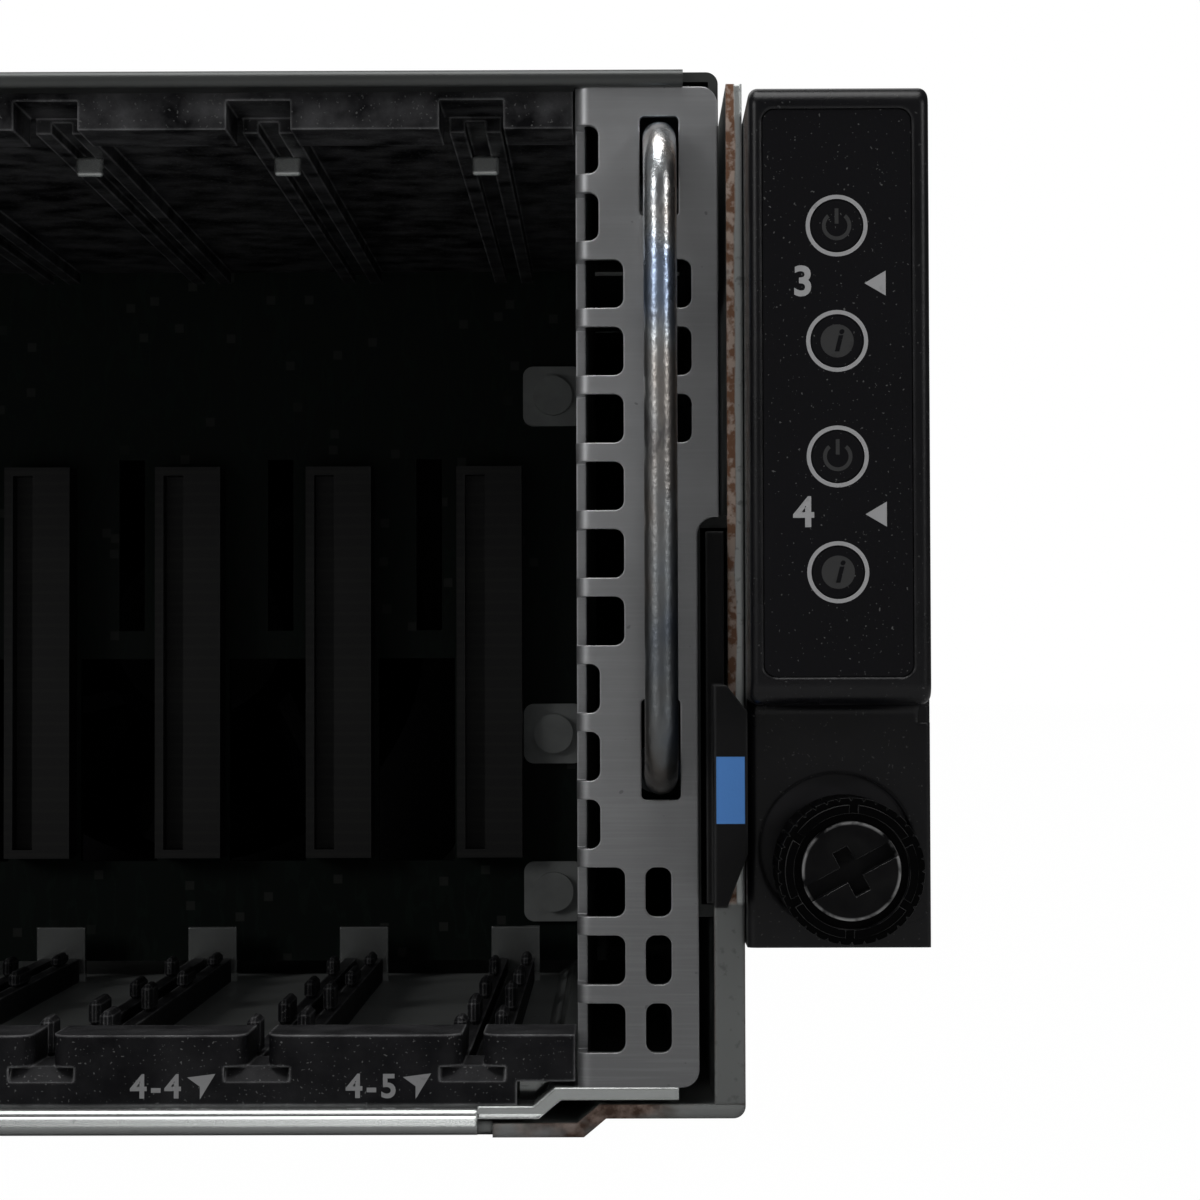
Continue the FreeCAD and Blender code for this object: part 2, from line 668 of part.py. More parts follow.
def control_housing():
    body = new_body("control_housing_right")
    step_y = -S.ear_step
    side = [(S.flange_y, S.ear_low), (S.flange_y, S.ear_high),
            (FACE_Y, S.ear_high, S.ear_round), (FACE_Y, S.ear_step_z, S.ear_round),
            (step_y, S.ear_step_z, S.ear_round / 2), (step_y, S.ear_low)]
    add(body, "YZ_Plane", side, S.ear_left, S.ear_right)
    skirt = S.ear_right + S.ear_skirt
    skirt_top = S.ear_step_z - S.ear_round
    add(body, "YZ_Plane", rectangle(step_y, S.flange_y, S.ear_low, skirt_top), S.ear_right, skirt)
    face, lower_face, outside = FACE_Y.value, step_y.value, skirt.value

    def face_upright(edge):
        box = edge.BoundBox
        return box.ZLength > 20 and abs(box.YMin - face) < 1e-3 and abs(box.YMax - face) < 1e-3

    def skirt_upright(edge):
        box = edge.BoundBox
        return box.ZLength > 15 and abs(box.XMin - outside) < 1e-3 and abs(box.YMax - lower_face) < 1e-3

    round_edges(body, S.ear_round / 2, face_upright)
    round_edges(body, S.ear_skirt / 2, skirt_upright)
    cut(body, "XZ_Plane",
        rectangle(S.overlay_left, S.overlay_right, S.overlay_low, S.overlay_high, S.overlay_round),
        FACE_Y - 1, RECESS_Y)
    cut(body, "XZ_Plane",
        rectangle(S.ear_left + S.ear_wall, S.ear_right - S.ear_wall,
                  S.ear_step_z + S.ear_wall, S.ear_high - S.ear_wall),
        CAVITY_Y, S.flange_y + 1)
    cut(body, "XZ_Plane", button_holes(S.button_r + S.button_gap * 2), RECESS_Y - 1, CAVITY_Y + 1)
    recess = {"circles": [(S.recess_x, S.recess_z, S.recess_r)]}
    cut(body, "XZ_Plane", recess, step_y - 1, step_y + S.recess_deep)
    bore = {"circles": [(S.screw_x, S.screw_z, S.stud_r + S.play)]}
    cut(body, "XZ_Plane", bore, step_y, S.flange_y + 1)
    return body


def control_overlays():
    body = new_body("overlay_right")
    gap = S.button_gap
    shape = rectangle(S.overlay_left + gap, S.overlay_right - gap,
                      S.overlay_low + gap, S.overlay_high - gap, S.overlay_round)
    add(body, "XZ_Plane", shape, RECESS_Y - S.overlay_thick, RECESS_Y)
    cut(body, "XZ_Plane", button_holes(S.button_r + gap), FACE_Y - 1, RECESS_Y + 1)
    return group("control_overlays", [body, mirror("overlay_left", body)])


BUTTON_BACK = CAVITY_Y + S.play + S.button_collar
SWITCH_FRONT = BUTTON_BACK + S.switch_gap


def button_boards():
    body = new_body("button_board_right")
    board_y = SWITCH_FRONT + S.switch_tall
    edge = S.ear_wall + S.play
    add(body, "XZ_Plane",
        rectangle(S.ear_left + edge, S.ear_right - edge, S.ear_step_z + edge, S.ear_high - edge),
        board_y, board_y + S.board_thick)
    half = S.switch_size / 2
    top = S.button_high
    switch = add(body, "XZ_Plane",
                 rectangle(S.button_x - half, S.button_x + half, top - half, top + half),
                 SWITCH_FRONT, board_y)
    row(body, switch, "Z", S.button_pitch, 4, reverse=True)
    return group("button_boards", [body, mirror("button_board_left", body)])


def button(name, side, step):
    """One push button: a cap in the overlay and a collar that holds it behind the wall."""
    body = new_body(name)
    front = RECESS_Y - S.overlay_thick
    collar = BUTTON_BACK - S.button_collar
    revolve(body, [(0, front), (S.button_r, front), (S.button_r, collar),
                   (S.button_flange, collar), (S.button_flange, BUTTON_BACK), (0, BUTTON_BACK)])
    place(body, x=S.button_x * side, z=button_heights()[step])
    return body


KNOB_BACK = -S.ear_step - S.play


def thumbscrew(name, side):
    """A captive thumbscrew: a knurled knob on a slotted screw."""
    knob = new_body(f"{name}_knob")
    front = -S.knob_front
    dish = front + S.knob_dish
    step = front + S.knob_step
    seat = dish + S.knob_dish * 2
    revolve(knob, [(S.stud_head, dish), (S.knob_rim, dish), (S.knob_rim, front),
                   (S.knob_ring, front), (S.knob_ring, step), (S.knob_r, step),
                   (S.knob_r, KNOB_BACK), (S.stud_neck, KNOB_BACK),
                   (S.stud_neck, seat), (S.stud_head, seat)])
    half = S.groove / 2
    rim = S.knob_r
    groove = cut(knob, "XZ_Plane",
                 [(rim - half, 0), (rim + half, -half), (rim + half, half)],
                 front - 1, KNOB_BACK - S.knob_dish)
    ring(knob, groove, S.knob_grooves)
    half = S.ring_gap / 2
    reach = S.knob_ring + S.groove
    gap = cut(knob, "XZ_Plane", tilted(rectangle(-reach, reach, -half, half), S.slot_tilt),
              front - 1, step)
    ring(knob, gap, S.ring_gaps)
    place(knob, x=S.screw_x * side, z=S.screw_z)

    stud = new_body(f"{name}_stud")
    head = dish - S.knob_dish / 2
    end = FLANGE_BACK + S.stud_reach
    revolve(stud, [(0, head), (S.stud_head, head), (S.stud_head, seat), (S.stud_neck, seat),
                   (S.stud_neck, FLANGE_BACK), (S.stud_r, FLANGE_BACK),
                   (S.stud_r, end - S.stud_r / 2), (S.stud_r / 2, end), (0, end)])
    half = S.slot_cut / 2
    reach = S.stud_head + 1
    arm = S.stud_head / 2
    for slot in (rectangle(-reach, reach, -half, half), rectangle(-half, half, -arm, arm)):
        cut(stud, "XZ_Plane", tilted(slot, S.slot_tilt), head - 1, head + S.slot_cut)
    place(stud, x=S.screw_x * side, z=S.screw_z)
    return group(name, [knob, stud])


def cage_floor():
    body = new_body("cage_floor")
    low, top, side = FLOOR_LOW, FLOOR_TOP, SIDE_FLOOR_TOP
    side_low = side - S.floor_sheet
    jog_in = S.floor_jog_x
    jog_out = jog_in + S.jog_run
    slope = S.floor_sheet / 2
    edge = S.floor_half
    under = [(-edge, side_low), (-jog_out, side_low), (-jog_in, low), (jog_in, low),
             (jog_out, side_low), (edge, side_low)]
    over = [(edge, side), (jog_out - slope, side), (jog_in - slope, top),
            (-jog_in + slope, top), (-jog_out + slope, side), (-edge, side)]
    add(body, "XZ_Plane", under + over, 0, S.cage_depth)
    lip_low = top - S.lip_drop
    lip = [(-S.lip_front, lip_low, S.lip_round), (S.floor_sheet, lip_low),
           (S.floor_sheet, top), (-S.lip_front, top, S.lip_round)]
    add(body, "YZ_Plane", lip, -S.lip_half, S.lip_half)
    half = S.tab_wide / 2
    tab_y = S.rail_end + S.play
    tab = add(body, "XZ_Plane",
              rectangle(-FIRST_SLOT - half, -FIRST_SLOT + half, top - S.floor_sheet / 2, S.tab_top),
              tab_y, tab_y + S.floor_sheet)
    row(body, tab, "X", S.slot_pitch, S.slot_count)
    return body


def cage_roof():
    body = new_body("cage_roof")
    skirt_out = S.plate_right + S.play / 4
    skirt_in = skirt_out - S.roof_sheet
    skirt_low = S.chassis_height - S.roof_skirt
    profile = [(-skirt_out, skirt_low), (-skirt_in, skirt_low), (-skirt_in, ROOF_LOW),
               (skirt_in, ROOF_LOW), (skirt_in, skirt_low), (skirt_out, skirt_low),
               (skirt_out, S.chassis_height, S.roof_bend),
               (-skirt_out, S.chassis_height, S.roof_bend)]
    add(body, "XZ_Plane", profile, S.cage_sheet + S.play, S.cage_depth)
    hem = S.roof_hem_half
    fold = S.chassis_height - S.roof_fold
    edge = S.roof_fold / 2.2
    back = S.cage_sheet + S.play + S.roof_sheet
    front = [(-S.lip_front / 2, fold, edge), (back, fold),
             (back, S.chassis_height), (-S.lip_front / 2, S.chassis_height, edge)]
    add(body, "YZ_Plane", front, -hem, hem)
    return body


def cage_bracket():
    """Perforated front plate and side of the cage, bent from one sheet."""
    body = new_body("cage_bracket_right")
    sheet = S.cage_sheet
    inner = S.cage_half
    bend = sheet * 1.5
    top = ROOF_LOW - S.play * 1.5
    profile = [(inner, 0, bend), (S.plate_right, 0), (S.plate_right, sheet),
               (inner + sheet, sheet, sheet / 2), (inner + sheet, S.cage_depth),
               (inner, S.cage_depth)]
    add(body, "XY_Plane", profile, SIDE_FLOOR_TOP, top)
    notch = [(S.plate_notch_x, SIDE_FLOOR_TOP - 1), (S.plate_right + 1, SIDE_FLOOR_TOP - 1),
             (S.plate_right + 1, S.plate_notch_z),
             (S.plate_notch_x, S.plate_notch_z, S.plate_corner)]
    cut(body, "XZ_Plane", notch, -1, sheet + 1)
    plate = sheet.value

    def plate_corner(edge):
        box = edge.BoundBox
        at_end = abs(box.ZMin - top.value) < 1e-3 or abs(box.ZMin - SIDE_FLOOR_TOP.value) < 1e-3
        return box.ZLength < 1e-3 and box.XLength < 1e-3 and at_end and abs(box.YLength - plate) < 1e-3

    round_edges(body, S.plate_corner, plate_corner)
    perforate(body)
    return body


def perforate(body):
    """Rows of holes across the bend, two oblong rows and the slots for the wire handle."""
    inner = S.cage_half
    half = S.hole_tall / 2
    z = S.hole_top_z
    groups = [(0, 2, S.hole_narrow), (2, 6, S.hole_wide), (8, 3, S.hole_narrow),
              (11, 3, S.hole_wide)]
    for first, count, reach in groups:
        middle = z - S.hole_pitch * first
        shape = [(inner - 1, middle - half), (inner + reach, middle - half, S.hole_round),
                 (inner + reach, middle + half, S.hole_round), (inner - 1, middle + half)]
        hole = cut(body, "XZ_Plane", shape, -1, S.hole_back)
        row(body, hole, "Z", S.hole_pitch, count, reverse=True)
    wide = S.oblong_wide / 2
    for first, x in ((2, S.oblong_high_x), (11, S.oblong_low_x)):
        middle = z - S.hole_pitch * first
        shape = rectangle(x - wide, x + wide, middle - half, middle + half, S.hole_round)
        hole = cut(body, "XZ_Plane", shape, -1, S.cage_sheet + 1)
        row(body, hole, "Z", S.hole_pitch, 3, reverse=True)
    wide = S.handle_slot_wide / 2
    past = S.handle_slot_past
    upper = S.handle_high + past
    lower = S.handle_low - past
    for low, high in ((upper - S.handle_slot_tall, upper), (lower, lower + S.handle_slot_tall)):
        shape = rectangle(S.handle_x - wide, S.handle_x + wide, low, high, S.hole_round / 2)
        cut(body, "XZ_Plane", shape, -1, S.cage_sheet + 1)


def wire_handle():
    """Bent wire pull, its legs through the bracket's slots and upset to heads at their ends."""
    body = new_body("wire_handle_right")
    front, back = -S.handle_out, S.handle_leg
    high, low = S.handle_high, S.handle_low
    path = new_sketch(body, "YZ_Plane", S.handle_x)
    draw(path, [(back, high), (front, high, S.handle_bend),
                (front, low, S.handle_bend), (back, low)], closed=False)
    section = new_sketch(body, "XZ_Plane", -back)
    draw_circle(section, S.handle_x, high, S.wire / 2)
    DOC.recompute()
    pipe = body.newObject("PartDesign::AdditivePipe", "wire")
    pipe.Profile = section
    pipe.Spine = (path, [f"Edge{n + 1}" for n in range(len(path.Shape.Edges))])
    DOC.recompute()
    heads = [(S.handle_x, z, S.handle_head_r) for z in (high, low)]
    add(body, "XZ_Plane", {"circles": heads}, back - S.handle_head, back)
    return body


def slot_guide_bottom():
    """Moulded strip with a gap for each drive, and a grooved rail behind each gap."""
    body = new_body("slot_guide_bottom")
    front = S.guide_front
    back = front + S.guide_strip
    base_top = FLOOR_TOP + S.guide_base
    end = S.cage_half - S.play / 2
    low_end = S.floor_jog_x - S.jog_run
    add(body, "XZ_Plane",
        [(-low_end, FLOOR_TOP), (low_end, FLOOR_TOP), (low_end, SIDE_FLOOR_TOP + S.play),
         (end, SIDE_FLOOR_TOP + S.play), (end, base_top),
         (-end, base_top), (-end, SIDE_FLOOR_TOP + S.play), (-low_end, SIDE_FLOOR_TOP + S.play)],
        front, back)
    half = S.guide_gap / 2
    mouth = half + S.guide_round
    ramp = cut(body, "YZ_Plane",
               [(front - 1, base_top - S.guide_ramp - 1), (front + S.guide_ramp, base_top),
                (front - 1, base_top)],
               -FIRST_SLOT - mouth, -FIRST_SLOT + mouth)
    row(body, ramp, "X", S.slot_pitch, S.slot_count)
    first = -FIRST_SLOT + half
    guide_block(body, first, first + S.slot_pitch - S.guide_gap, S.guide_round, S.guide_round)
    row(body, body.Tip, "X", S.slot_pitch, S.slot_count - 1)
    guide_block(body, -end, -FIRST_SLOT - half, None, S.guide_round)
    guide_block(body, FIRST_SLOT + half, end, S.guide_round, None)
    rail_half = S.rail_wide / 2
    rail_top = FLOOR_TOP + S.rail_tall
    rail = [(-FIRST_SLOT - rail_half, FLOOR_TOP), (-FIRST_SLOT + rail_half, FLOOR_TOP),
            (-FIRST_SLOT + rail_half, rail_top), (-FIRST_SLOT + half, rail_top),
            (-FIRST_SLOT + half, rail_top - S.guide_gap), (-FIRST_SLOT - half, rail_top - S.guide_gap),
            (-FIRST_SLOT - half, rail_top), (-FIRST_SLOT - rail_half, rail_top)]
    rails = add(body, "XZ_Plane", rail, back, S.rail_end)
    row(body, rails, "X", S.slot_pitch, S.slot_count)
    return body


def guide_block(body, left, right, left_round, right_round):
    """A block on the lower strip, rounded at the front beside a gap."""
    front = S.guide_front
    base_top = FLOOR_TOP + S.guide_base
    shape = [(left, front, left_round) if left_round else (left, front),
             (right, front, right_round) if right_round else (right, front),
             (right, front + S.guide_strip), (left, front + S.guide_strip)]
    add(body, "XY_Plane", shape, base_top, base_top + S.guide_block)


def slot_guide_top():
    """Upper moulding: a sheet under the roof, a notched front band and grooved rails."""
    body = new_body("slot_guide_top")
    front = S.guide_front + S.cage_sheet + S.play
    back = front + S.guide_strip
    top = ROOF_LOW
    under = top - S.top_plate
    end = S.cage_half - S.play / 2
    add(body, "XZ_Plane", rectangle(-end, end, under, top), front, S.rail_end)
    add(body, "XZ_Plane", rectangle(-end, end, top - S.top_band, under), front, back)
    half = S.top_gap / 2
    notch = cut(body, "XZ_Plane",
                rectangle(-FIRST_SLOT - half, -FIRST_SLOT + half, top - S.top_band - 1, under),
                front - 1, back + 1)
    row(body, notch, "X", S.slot_pitch, S.slot_count)
    rail_half = S.rail_wide / 2
    groove = S.guide_gap / 2
    rail_low = under - S.rail_tall / 2
    rail = [(-FIRST_SLOT - rail_half, under), (-FIRST_SLOT - rail_half, rail_low),
            (-FIRST_SLOT - groove, rail_low), (-FIRST_SLOT - groove, under - S.play),
            (-FIRST_SLOT + groove, under - S.play), (-FIRST_SLOT + groove, rail_low),
            (-FIRST_SLOT + rail_half, rail_low), (-FIRST_SLOT + rail_half, under)]
    rails = add(body, "XZ_Plane", rail, back, S.rail_end)
    row(body, rails, "X", S.slot_pitch, S.slot_count)
    return body


def backplane_board():
    body = new_body("backplane_board")
    edge = S.cage_half - S.play / 2
    back = S.backplane_y + S.board_thick
    add(body, "XZ_Plane", rectangle(-edge, edge, SIDE_FLOOR_TOP + S.play, ROOF_LOW - S.play),
        S.backplane_y, back)
    vent_x = -FIRST_SLOT - S.socket_shift + S.slot_pitch / 2
    half = S.vent_wide / 2
    vent = cut(body, "XZ_Plane",
               rectangle(vent_x - half, vent_x + half, S.vent_low, S.vent_low + S.vent_tall),
               S.backplane_y - 1, back + 1)
    slit = cut(body, "XZ_Plane",
               rectangle(vent_x, vent_x + S.slit_wide, S.slit_low, S.slit_low + S.slit_tall),
               S.backplane_y - 1, back + 1)
    row(body, [vent, slit], "X", S.slot_pitch, S.slot_count - 1)
    return body


def backplane_sockets():
    body = new_body("backplane_sockets")
    x = -FIRST_SLOT - S.socket_shift
    half = S.socket_wide / 2
    front = S.backplane_y - S.socket_deep
    socket = add(body, "XZ_Plane",
                 rectangle(x - half, x + half, S.socket_low, S.socket_low + S.socket_tall),
                 front, S.backplane_y)
    blade = S.floor_sheet / 2
    rim = S.floor_sheet
    mouth = cut(body, "XZ_Plane",
                [(x - half + rim, S.socket_low + rim), (x - blade, S.socket_low + rim),
                 (x - blade, S.socket_low + S.socket_tall - rim),
                 (x - half + rim, S.socket_low + S.socket_tall - rim)],
                front - 1, front + S.socket_deep / 2)
    row(body, [socket, mouth], "X", S.slot_pitch, S.slot_count)
    return body


def backplane_screws():
    """Square washers and round-headed screws at both ends of the backplane."""
    washers = []
    half = S.pad_size / 2
    pad_front = S.backplane_y - S.pad_thick
    for number, z in enumerate((S.pad_high, S.pad_low, S.pad_middle)):
        body = new_body(f"backplane_screw_{number}")
        add(body, "XZ_Plane",
            rectangle(S.pad_x - half, S.pad_x + half, z - half, z + half, S.pad_round),
            pad_front, S.backplane_y)
        add(body, "XZ_Plane", {"circles": [(S.pad_x, z, S.screw_head)]},
            pad_front - S.pad_thick, pad_front)
        washers.append(body)
    outer = [mirror(f"{body.Label}_left", body) for body in washers[:2]]
    return group("backplane_screws", washers + outer)


def tag_channel():
    """Bent channel inside the right wall that holds the information tag."""
    body = new_body("tag_channel")
    sheet = S.channel_sheet
    inside = S.tag_left - S.play
    outer = inside - sheet
    top = S.tag_low + S.tag_tall + S.play
    low = S.hem_height
    hem_in = WALL_OUT - S.hem_thick
    profile = [(outer, low - sheet), (hem_in, low - sheet), (hem_in, low), (inside, low),
               (inside, top), (WALL_IN, top), (WALL_IN, top + sheet), (outer, top + sheet)]
    start = S.cage_sheet + S.play
    add(body, "XZ_Plane", profile, start, start + S.channel_length)
    return body


def info_tag():
    """Pull-out card with a bevelled thumb grip."""
    body = new_body("info_tag")
    card_out = S.tag_left + S.tag_thick
    low, front = S.tag_low, -S.tag_front
    add(body, "XZ_Plane", rectangle(S.tag_left, card_out, low, low + S.tag_tall),
        front, front + S.tag_length)
    high = low + S.grip_tall
    taper = S.grip_taper
    lap = card_out - S.grip_left
    grip = [(S.grip_left, low), (S.grip_left + lap, low), (S.grip_right, low + taper),
            (S.grip_right, high - taper / 2), (S.grip_left + lap, high), (S.grip_left, high)]
    add(body, "XZ_Plane", grip, -S.grip_out, front / 2)
    return body


def fan_centres():
    """Sideways places of the four fans."""
    return [S.fan_pitch * (step - 1.5) for step in range(4)]


FAN_Z = S.chassis_height / 2
FAN_FRONT = S.tray_y - S.fan_deep


def fan_frames():
    """Square frames with a round bore and a hub on four struts, all alike."""
    body = new_body("fan_frame_1")
    half = S.fan_size / 2
    add(body, "XZ_Plane", rectangle(-half, half, -half, half, S.fan_corner), 0, S.fan_deep)
    cut(body, "XZ_Plane", {"circles": [(0, 0, S.fan_bore)]}, -1, S.fan_deep - S.stator)
    bore, hub = S.fan_bore / 1.42, S.fan_hub / 1.42
    arm = S.strut / 2
    window = [(hub, -hub + arm), (bore, -bore + arm), (bore, bore - arm), (hub, hub - arm)]
    opening = cut(body, "XZ_Plane", window, S.fan_deep - S.stator - 1, S.fan_deep + 1)
    ring(body, opening, 4)
    place(body, x=fan_centres()[0], y=FAN_FRONT, z=FAN_Z)
    rest = [copy(f"fan_frame_{step + 1}", body, x=S.fan_pitch * step) for step in range(1, 4)]
    return group("fan_frames", [body] + rest)


def fan_rotor(number):
    """Hub with slanted blades, turning on the frame's axis."""
    body = new_body(f"fan_rotor_{number}")
    end = S.fan_deep - S.stator - S.play
    nose = S.fan_hub * 0.8
    revolve(body, [(0, S.stator), (nose, S.stator), (S.fan_hub, S.stator * 2), (S.fan_hub, end), (0, end)])
    thick = S.blade_thick
    lead = S.fan_hub / 2
    blade = add(body, "XY_Plane",
                [(-lead, S.stator * 2), (-lead + thick, S.stator * 2), (lead, end - S.stator),
                 (lead - thick, end - S.stator)],
                S.fan_hub - thick, S.fan_bore - thick)
    ring(body, blade, S.fan_blades)
    place(body, x=fan_centres()[number - 1], y=FAN_FRONT, z=FAN_Z)
    return body


def fan_tray():
    """Cross wall behind the fans with a round opening for each."""
    body = new_body("fan_tray")
    back = S.tray_y + S.cover_sheet
    add(body, "XZ_Plane", rectangle(-S.tray_half, S.tray_half, S.pan_sheet, COVER_LOW),
        S.tray_y, back)
    add(body, "XY_Plane", rectangle(-S.tray_half, S.tray_half, back, back + S.tray_foot),
        S.pan_sheet, S.pan_sheet + S.cover_sheet)
    holes = {"circles": [(x, FAN_Z, S.fan_bore - 1) for x in fan_centres()]}
    cut(body, "XZ_Plane", holes, S.tray_y - 1, back + 1)
    return body


def midplane_board():
    """Board across the chassis with air openings, and the sockets that the sleds plug into."""
    board = new_body("midplane")
    back = S.midplane_y + S.board_thick
    add(board, "XZ_Plane",
        rectangle(-S.midplane_half, S.midplane_half, PAN_TOP + S.play / 2, COVER_LOW - S.play),
        S.midplane_y, back)
    half = S.air_wide / 2
    for middle in (S.air_inner, S.air_outer, -S.air_inner, -S.air_outer):
        for floor in (LOW_BAY, HIGH_BAY):
            low = floor + S.air_rise
            cut(board, "XZ_Plane", rectangle(middle - half, middle + half, low, low + S.air_tall),
                S.midplane_y - 1, back + 1)
    sockets = []
    half = S.link_wide / 2
    for side in (-1, 1):
        for level, floor in enumerate((LOW_BAY, HIGH_BAY)):
            socket = new_body(f"sled_socket_{side + 2}_{level}")
            middle = S.link_x * side
            low = floor + S.board_rise
            add(socket, "XZ_Plane", rectangle(middle - half, middle + half, low, low + S.link_tall),
                back, back + S.link_deep)
            sockets.append(socket)
    return group("midplane_board", [board] + sockets)


def power_board():
    """Board that the supplies plug into, with two bus bars running to the midplane."""
    board = new_body("supply_board")
    edge = S.column_half - S.play / 2
    add(board, "XZ_Plane", rectangle(-edge, edge, S.pan_sheet + S.play, COVER_LOW - S.play),
        S.supply_board, S.supply_board + S.board_thick)
    members = [board]
    start = S.midplane_y + S.board_thick
    for side in (-1, 1):
        bar = new_body(f"bus_bar_{side + 2}")
        middle = S.bus_x * side
        add(bar, "XZ_Plane",
            rectangle(middle - S.bus_thick / 2, middle + S.bus_thick / 2,
                      FAN_Z - S.bus_tall / 2, FAN_Z + S.bus_tall / 2),
            start, S.supply_board)
        members.append(bar)
    return group("power_board", members)


def bay_dividers():
    body = new_body("bay_divider_right")
    add(body, "XZ_Plane",
        rectangle(S.column_half, S.column_half + S.divider_sheet, S.pan_sheet, COVER_LOW),
        S.bay_front, S.chassis_length)
    return group("bay_dividers", [body, mirror("bay_divider_left", body)])


def bay_shelves():
    """Shelves between the upper and the lower sleds and supplies."""
    side = new_body("sled_shelf_right")
    add(side, "XZ_Plane",
        rectangle(S.column_half + S.divider_sheet, WALL_IN, S.shelf_z, SHELF_TOP),
        S.bay_front, S.chassis_length)
    middle = new_body("supply_shelf")
    add(middle, "XZ_Plane", rectangle(-S.column_half, S.column_half, S.shelf_z, SHELF_TOP),
        S.supply_board + S.board_thick, S.chassis_length)
    return group("bay_shelves", [side, mirror("sled_shelf_left", side), middle])


def top_sheet(name, front, back):
    body = new_body(name)
    add(body, "XZ_Plane", rectangle(-WALL_OUT, WALL_OUT, COVER_LOW, S.chassis_height), front, back)
    return body


def rear_cover():
    """Fixed cover over the rear bays, with a grip groove near its rear edge."""
    body = top_sheet("rear_cover", S.cover_split + S.cover_gap, S.chassis_length)
    half = S.groove_wide / 2
    end = S.chassis_length - S.groove_edge
    groove = rectangle(-half, half, end - S.groove_long, end, S.dimple_round)
    cut(body, "XY_Plane", groove, S.chassis_height - S.groove_deep, S.chassis_height + 1)
    return body


def fan_cover():
    """Lift-off service cover over the fans, with two finger dimples."""
    body = top_sheet("fan_cover", S.cage_depth + S.cover_gap, S.cover_split)
    half = S.dimple_wide / 2
    end = S.cover_split - S.dimple_long
    for side in (-1, 1):
        middle = S.dimple_x * side
        dimple = rectangle(middle - half, middle + half, end - S.dimple_long, end, S.dimple_round)
        cut(body, "XY_Plane", dimple, S.chassis_height - S.dimple_deep, S.chassis_height + 1)
    return body


def sled_places():
    """Left edge and floor of the four sleds: lower and upper left, lower and upper right."""
    left = -SLED_LEFT - S.sled_wide
    return [(left, HIGH_BAY), (left, LOW_BAY), (SLED_LEFT, HIGH_BAY), (SLED_LEFT, LOW_BAY)]


PORTS = [(S.port_a_x, S.port_a_wide, S.port_a_tall), (S.port_b_x, S.port_b_wide, S.port_b_tall),
         (S.port_c_x, S.port_c_wide, S.port_c_tall)]
PORT_LOW = S.board_rise + S.sled_sheet + S.board_thick


def sled_tray(number, x, z):
    """Folded tray with a perforated rear panel, port openings and a pull loop."""
    body = new_body(f"sled_tray_{number}")
    sheet, wide, tall = S.sled_sheet, S.sled_wide, S.sled_tall
    channel = [(0, 0), (wide, 0), (wide, tall), (wide - sheet, tall), (wide - sheet, sheet),
               (sheet, sheet), (sheet, tall), (0, tall)]
    rear = S.chassis_length
    add(body, "XZ_Plane", channel, S.sled_front, rear)
    add(body, "XZ_Plane", rectangle(0, wide, 0, tall), rear - sheet, rear)
    vent, pitch = S.sled_vent, S.sled_vent_pitch
    high = tall - sheet - pitch - vent
    hole = cut(body, "XZ_Plane", rectangle(pitch, pitch + vent, high, high + vent),
               rear - sheet - 1, rear + 1)
    row(body, hole, "X", pitch, S.vent_columns)
    low = cut(body, "XZ_Plane", rectangle(pitch, pitch + vent, high - pitch, high - pitch + vent),
              rear - sheet - 1, rear + 1)
    row(body, low, "X", pitch, S.vent_extra)
    for left, width, height in PORTS:
        cut(body, "XZ_Plane", rectangle(left, left + width, PORT_LOW, PORT_LOW + height),
            rear - sheet - 1, rear + 1)
    start = wide - S.pull_edge - S.pull_wide
    bar = S.pull_thick
    loop = [(start, rear), (start, rear + S.pull_out, bar), (start + S.pull_wide, rear + S.pull_out, bar),
            (start + S.pull_wide, rear), (start + S.pull_wide - bar, rear),
            (start + S.pull_wide - bar, rear + S.pull_out - bar), (start + bar, rear + S.pull_out - bar),
            (start + bar, rear)]
    add(body, "XY_Plane", loop, PORT_LOW, PORT_LOW + S.lever_tall)
    place(body, x=x, z=z)
    return body


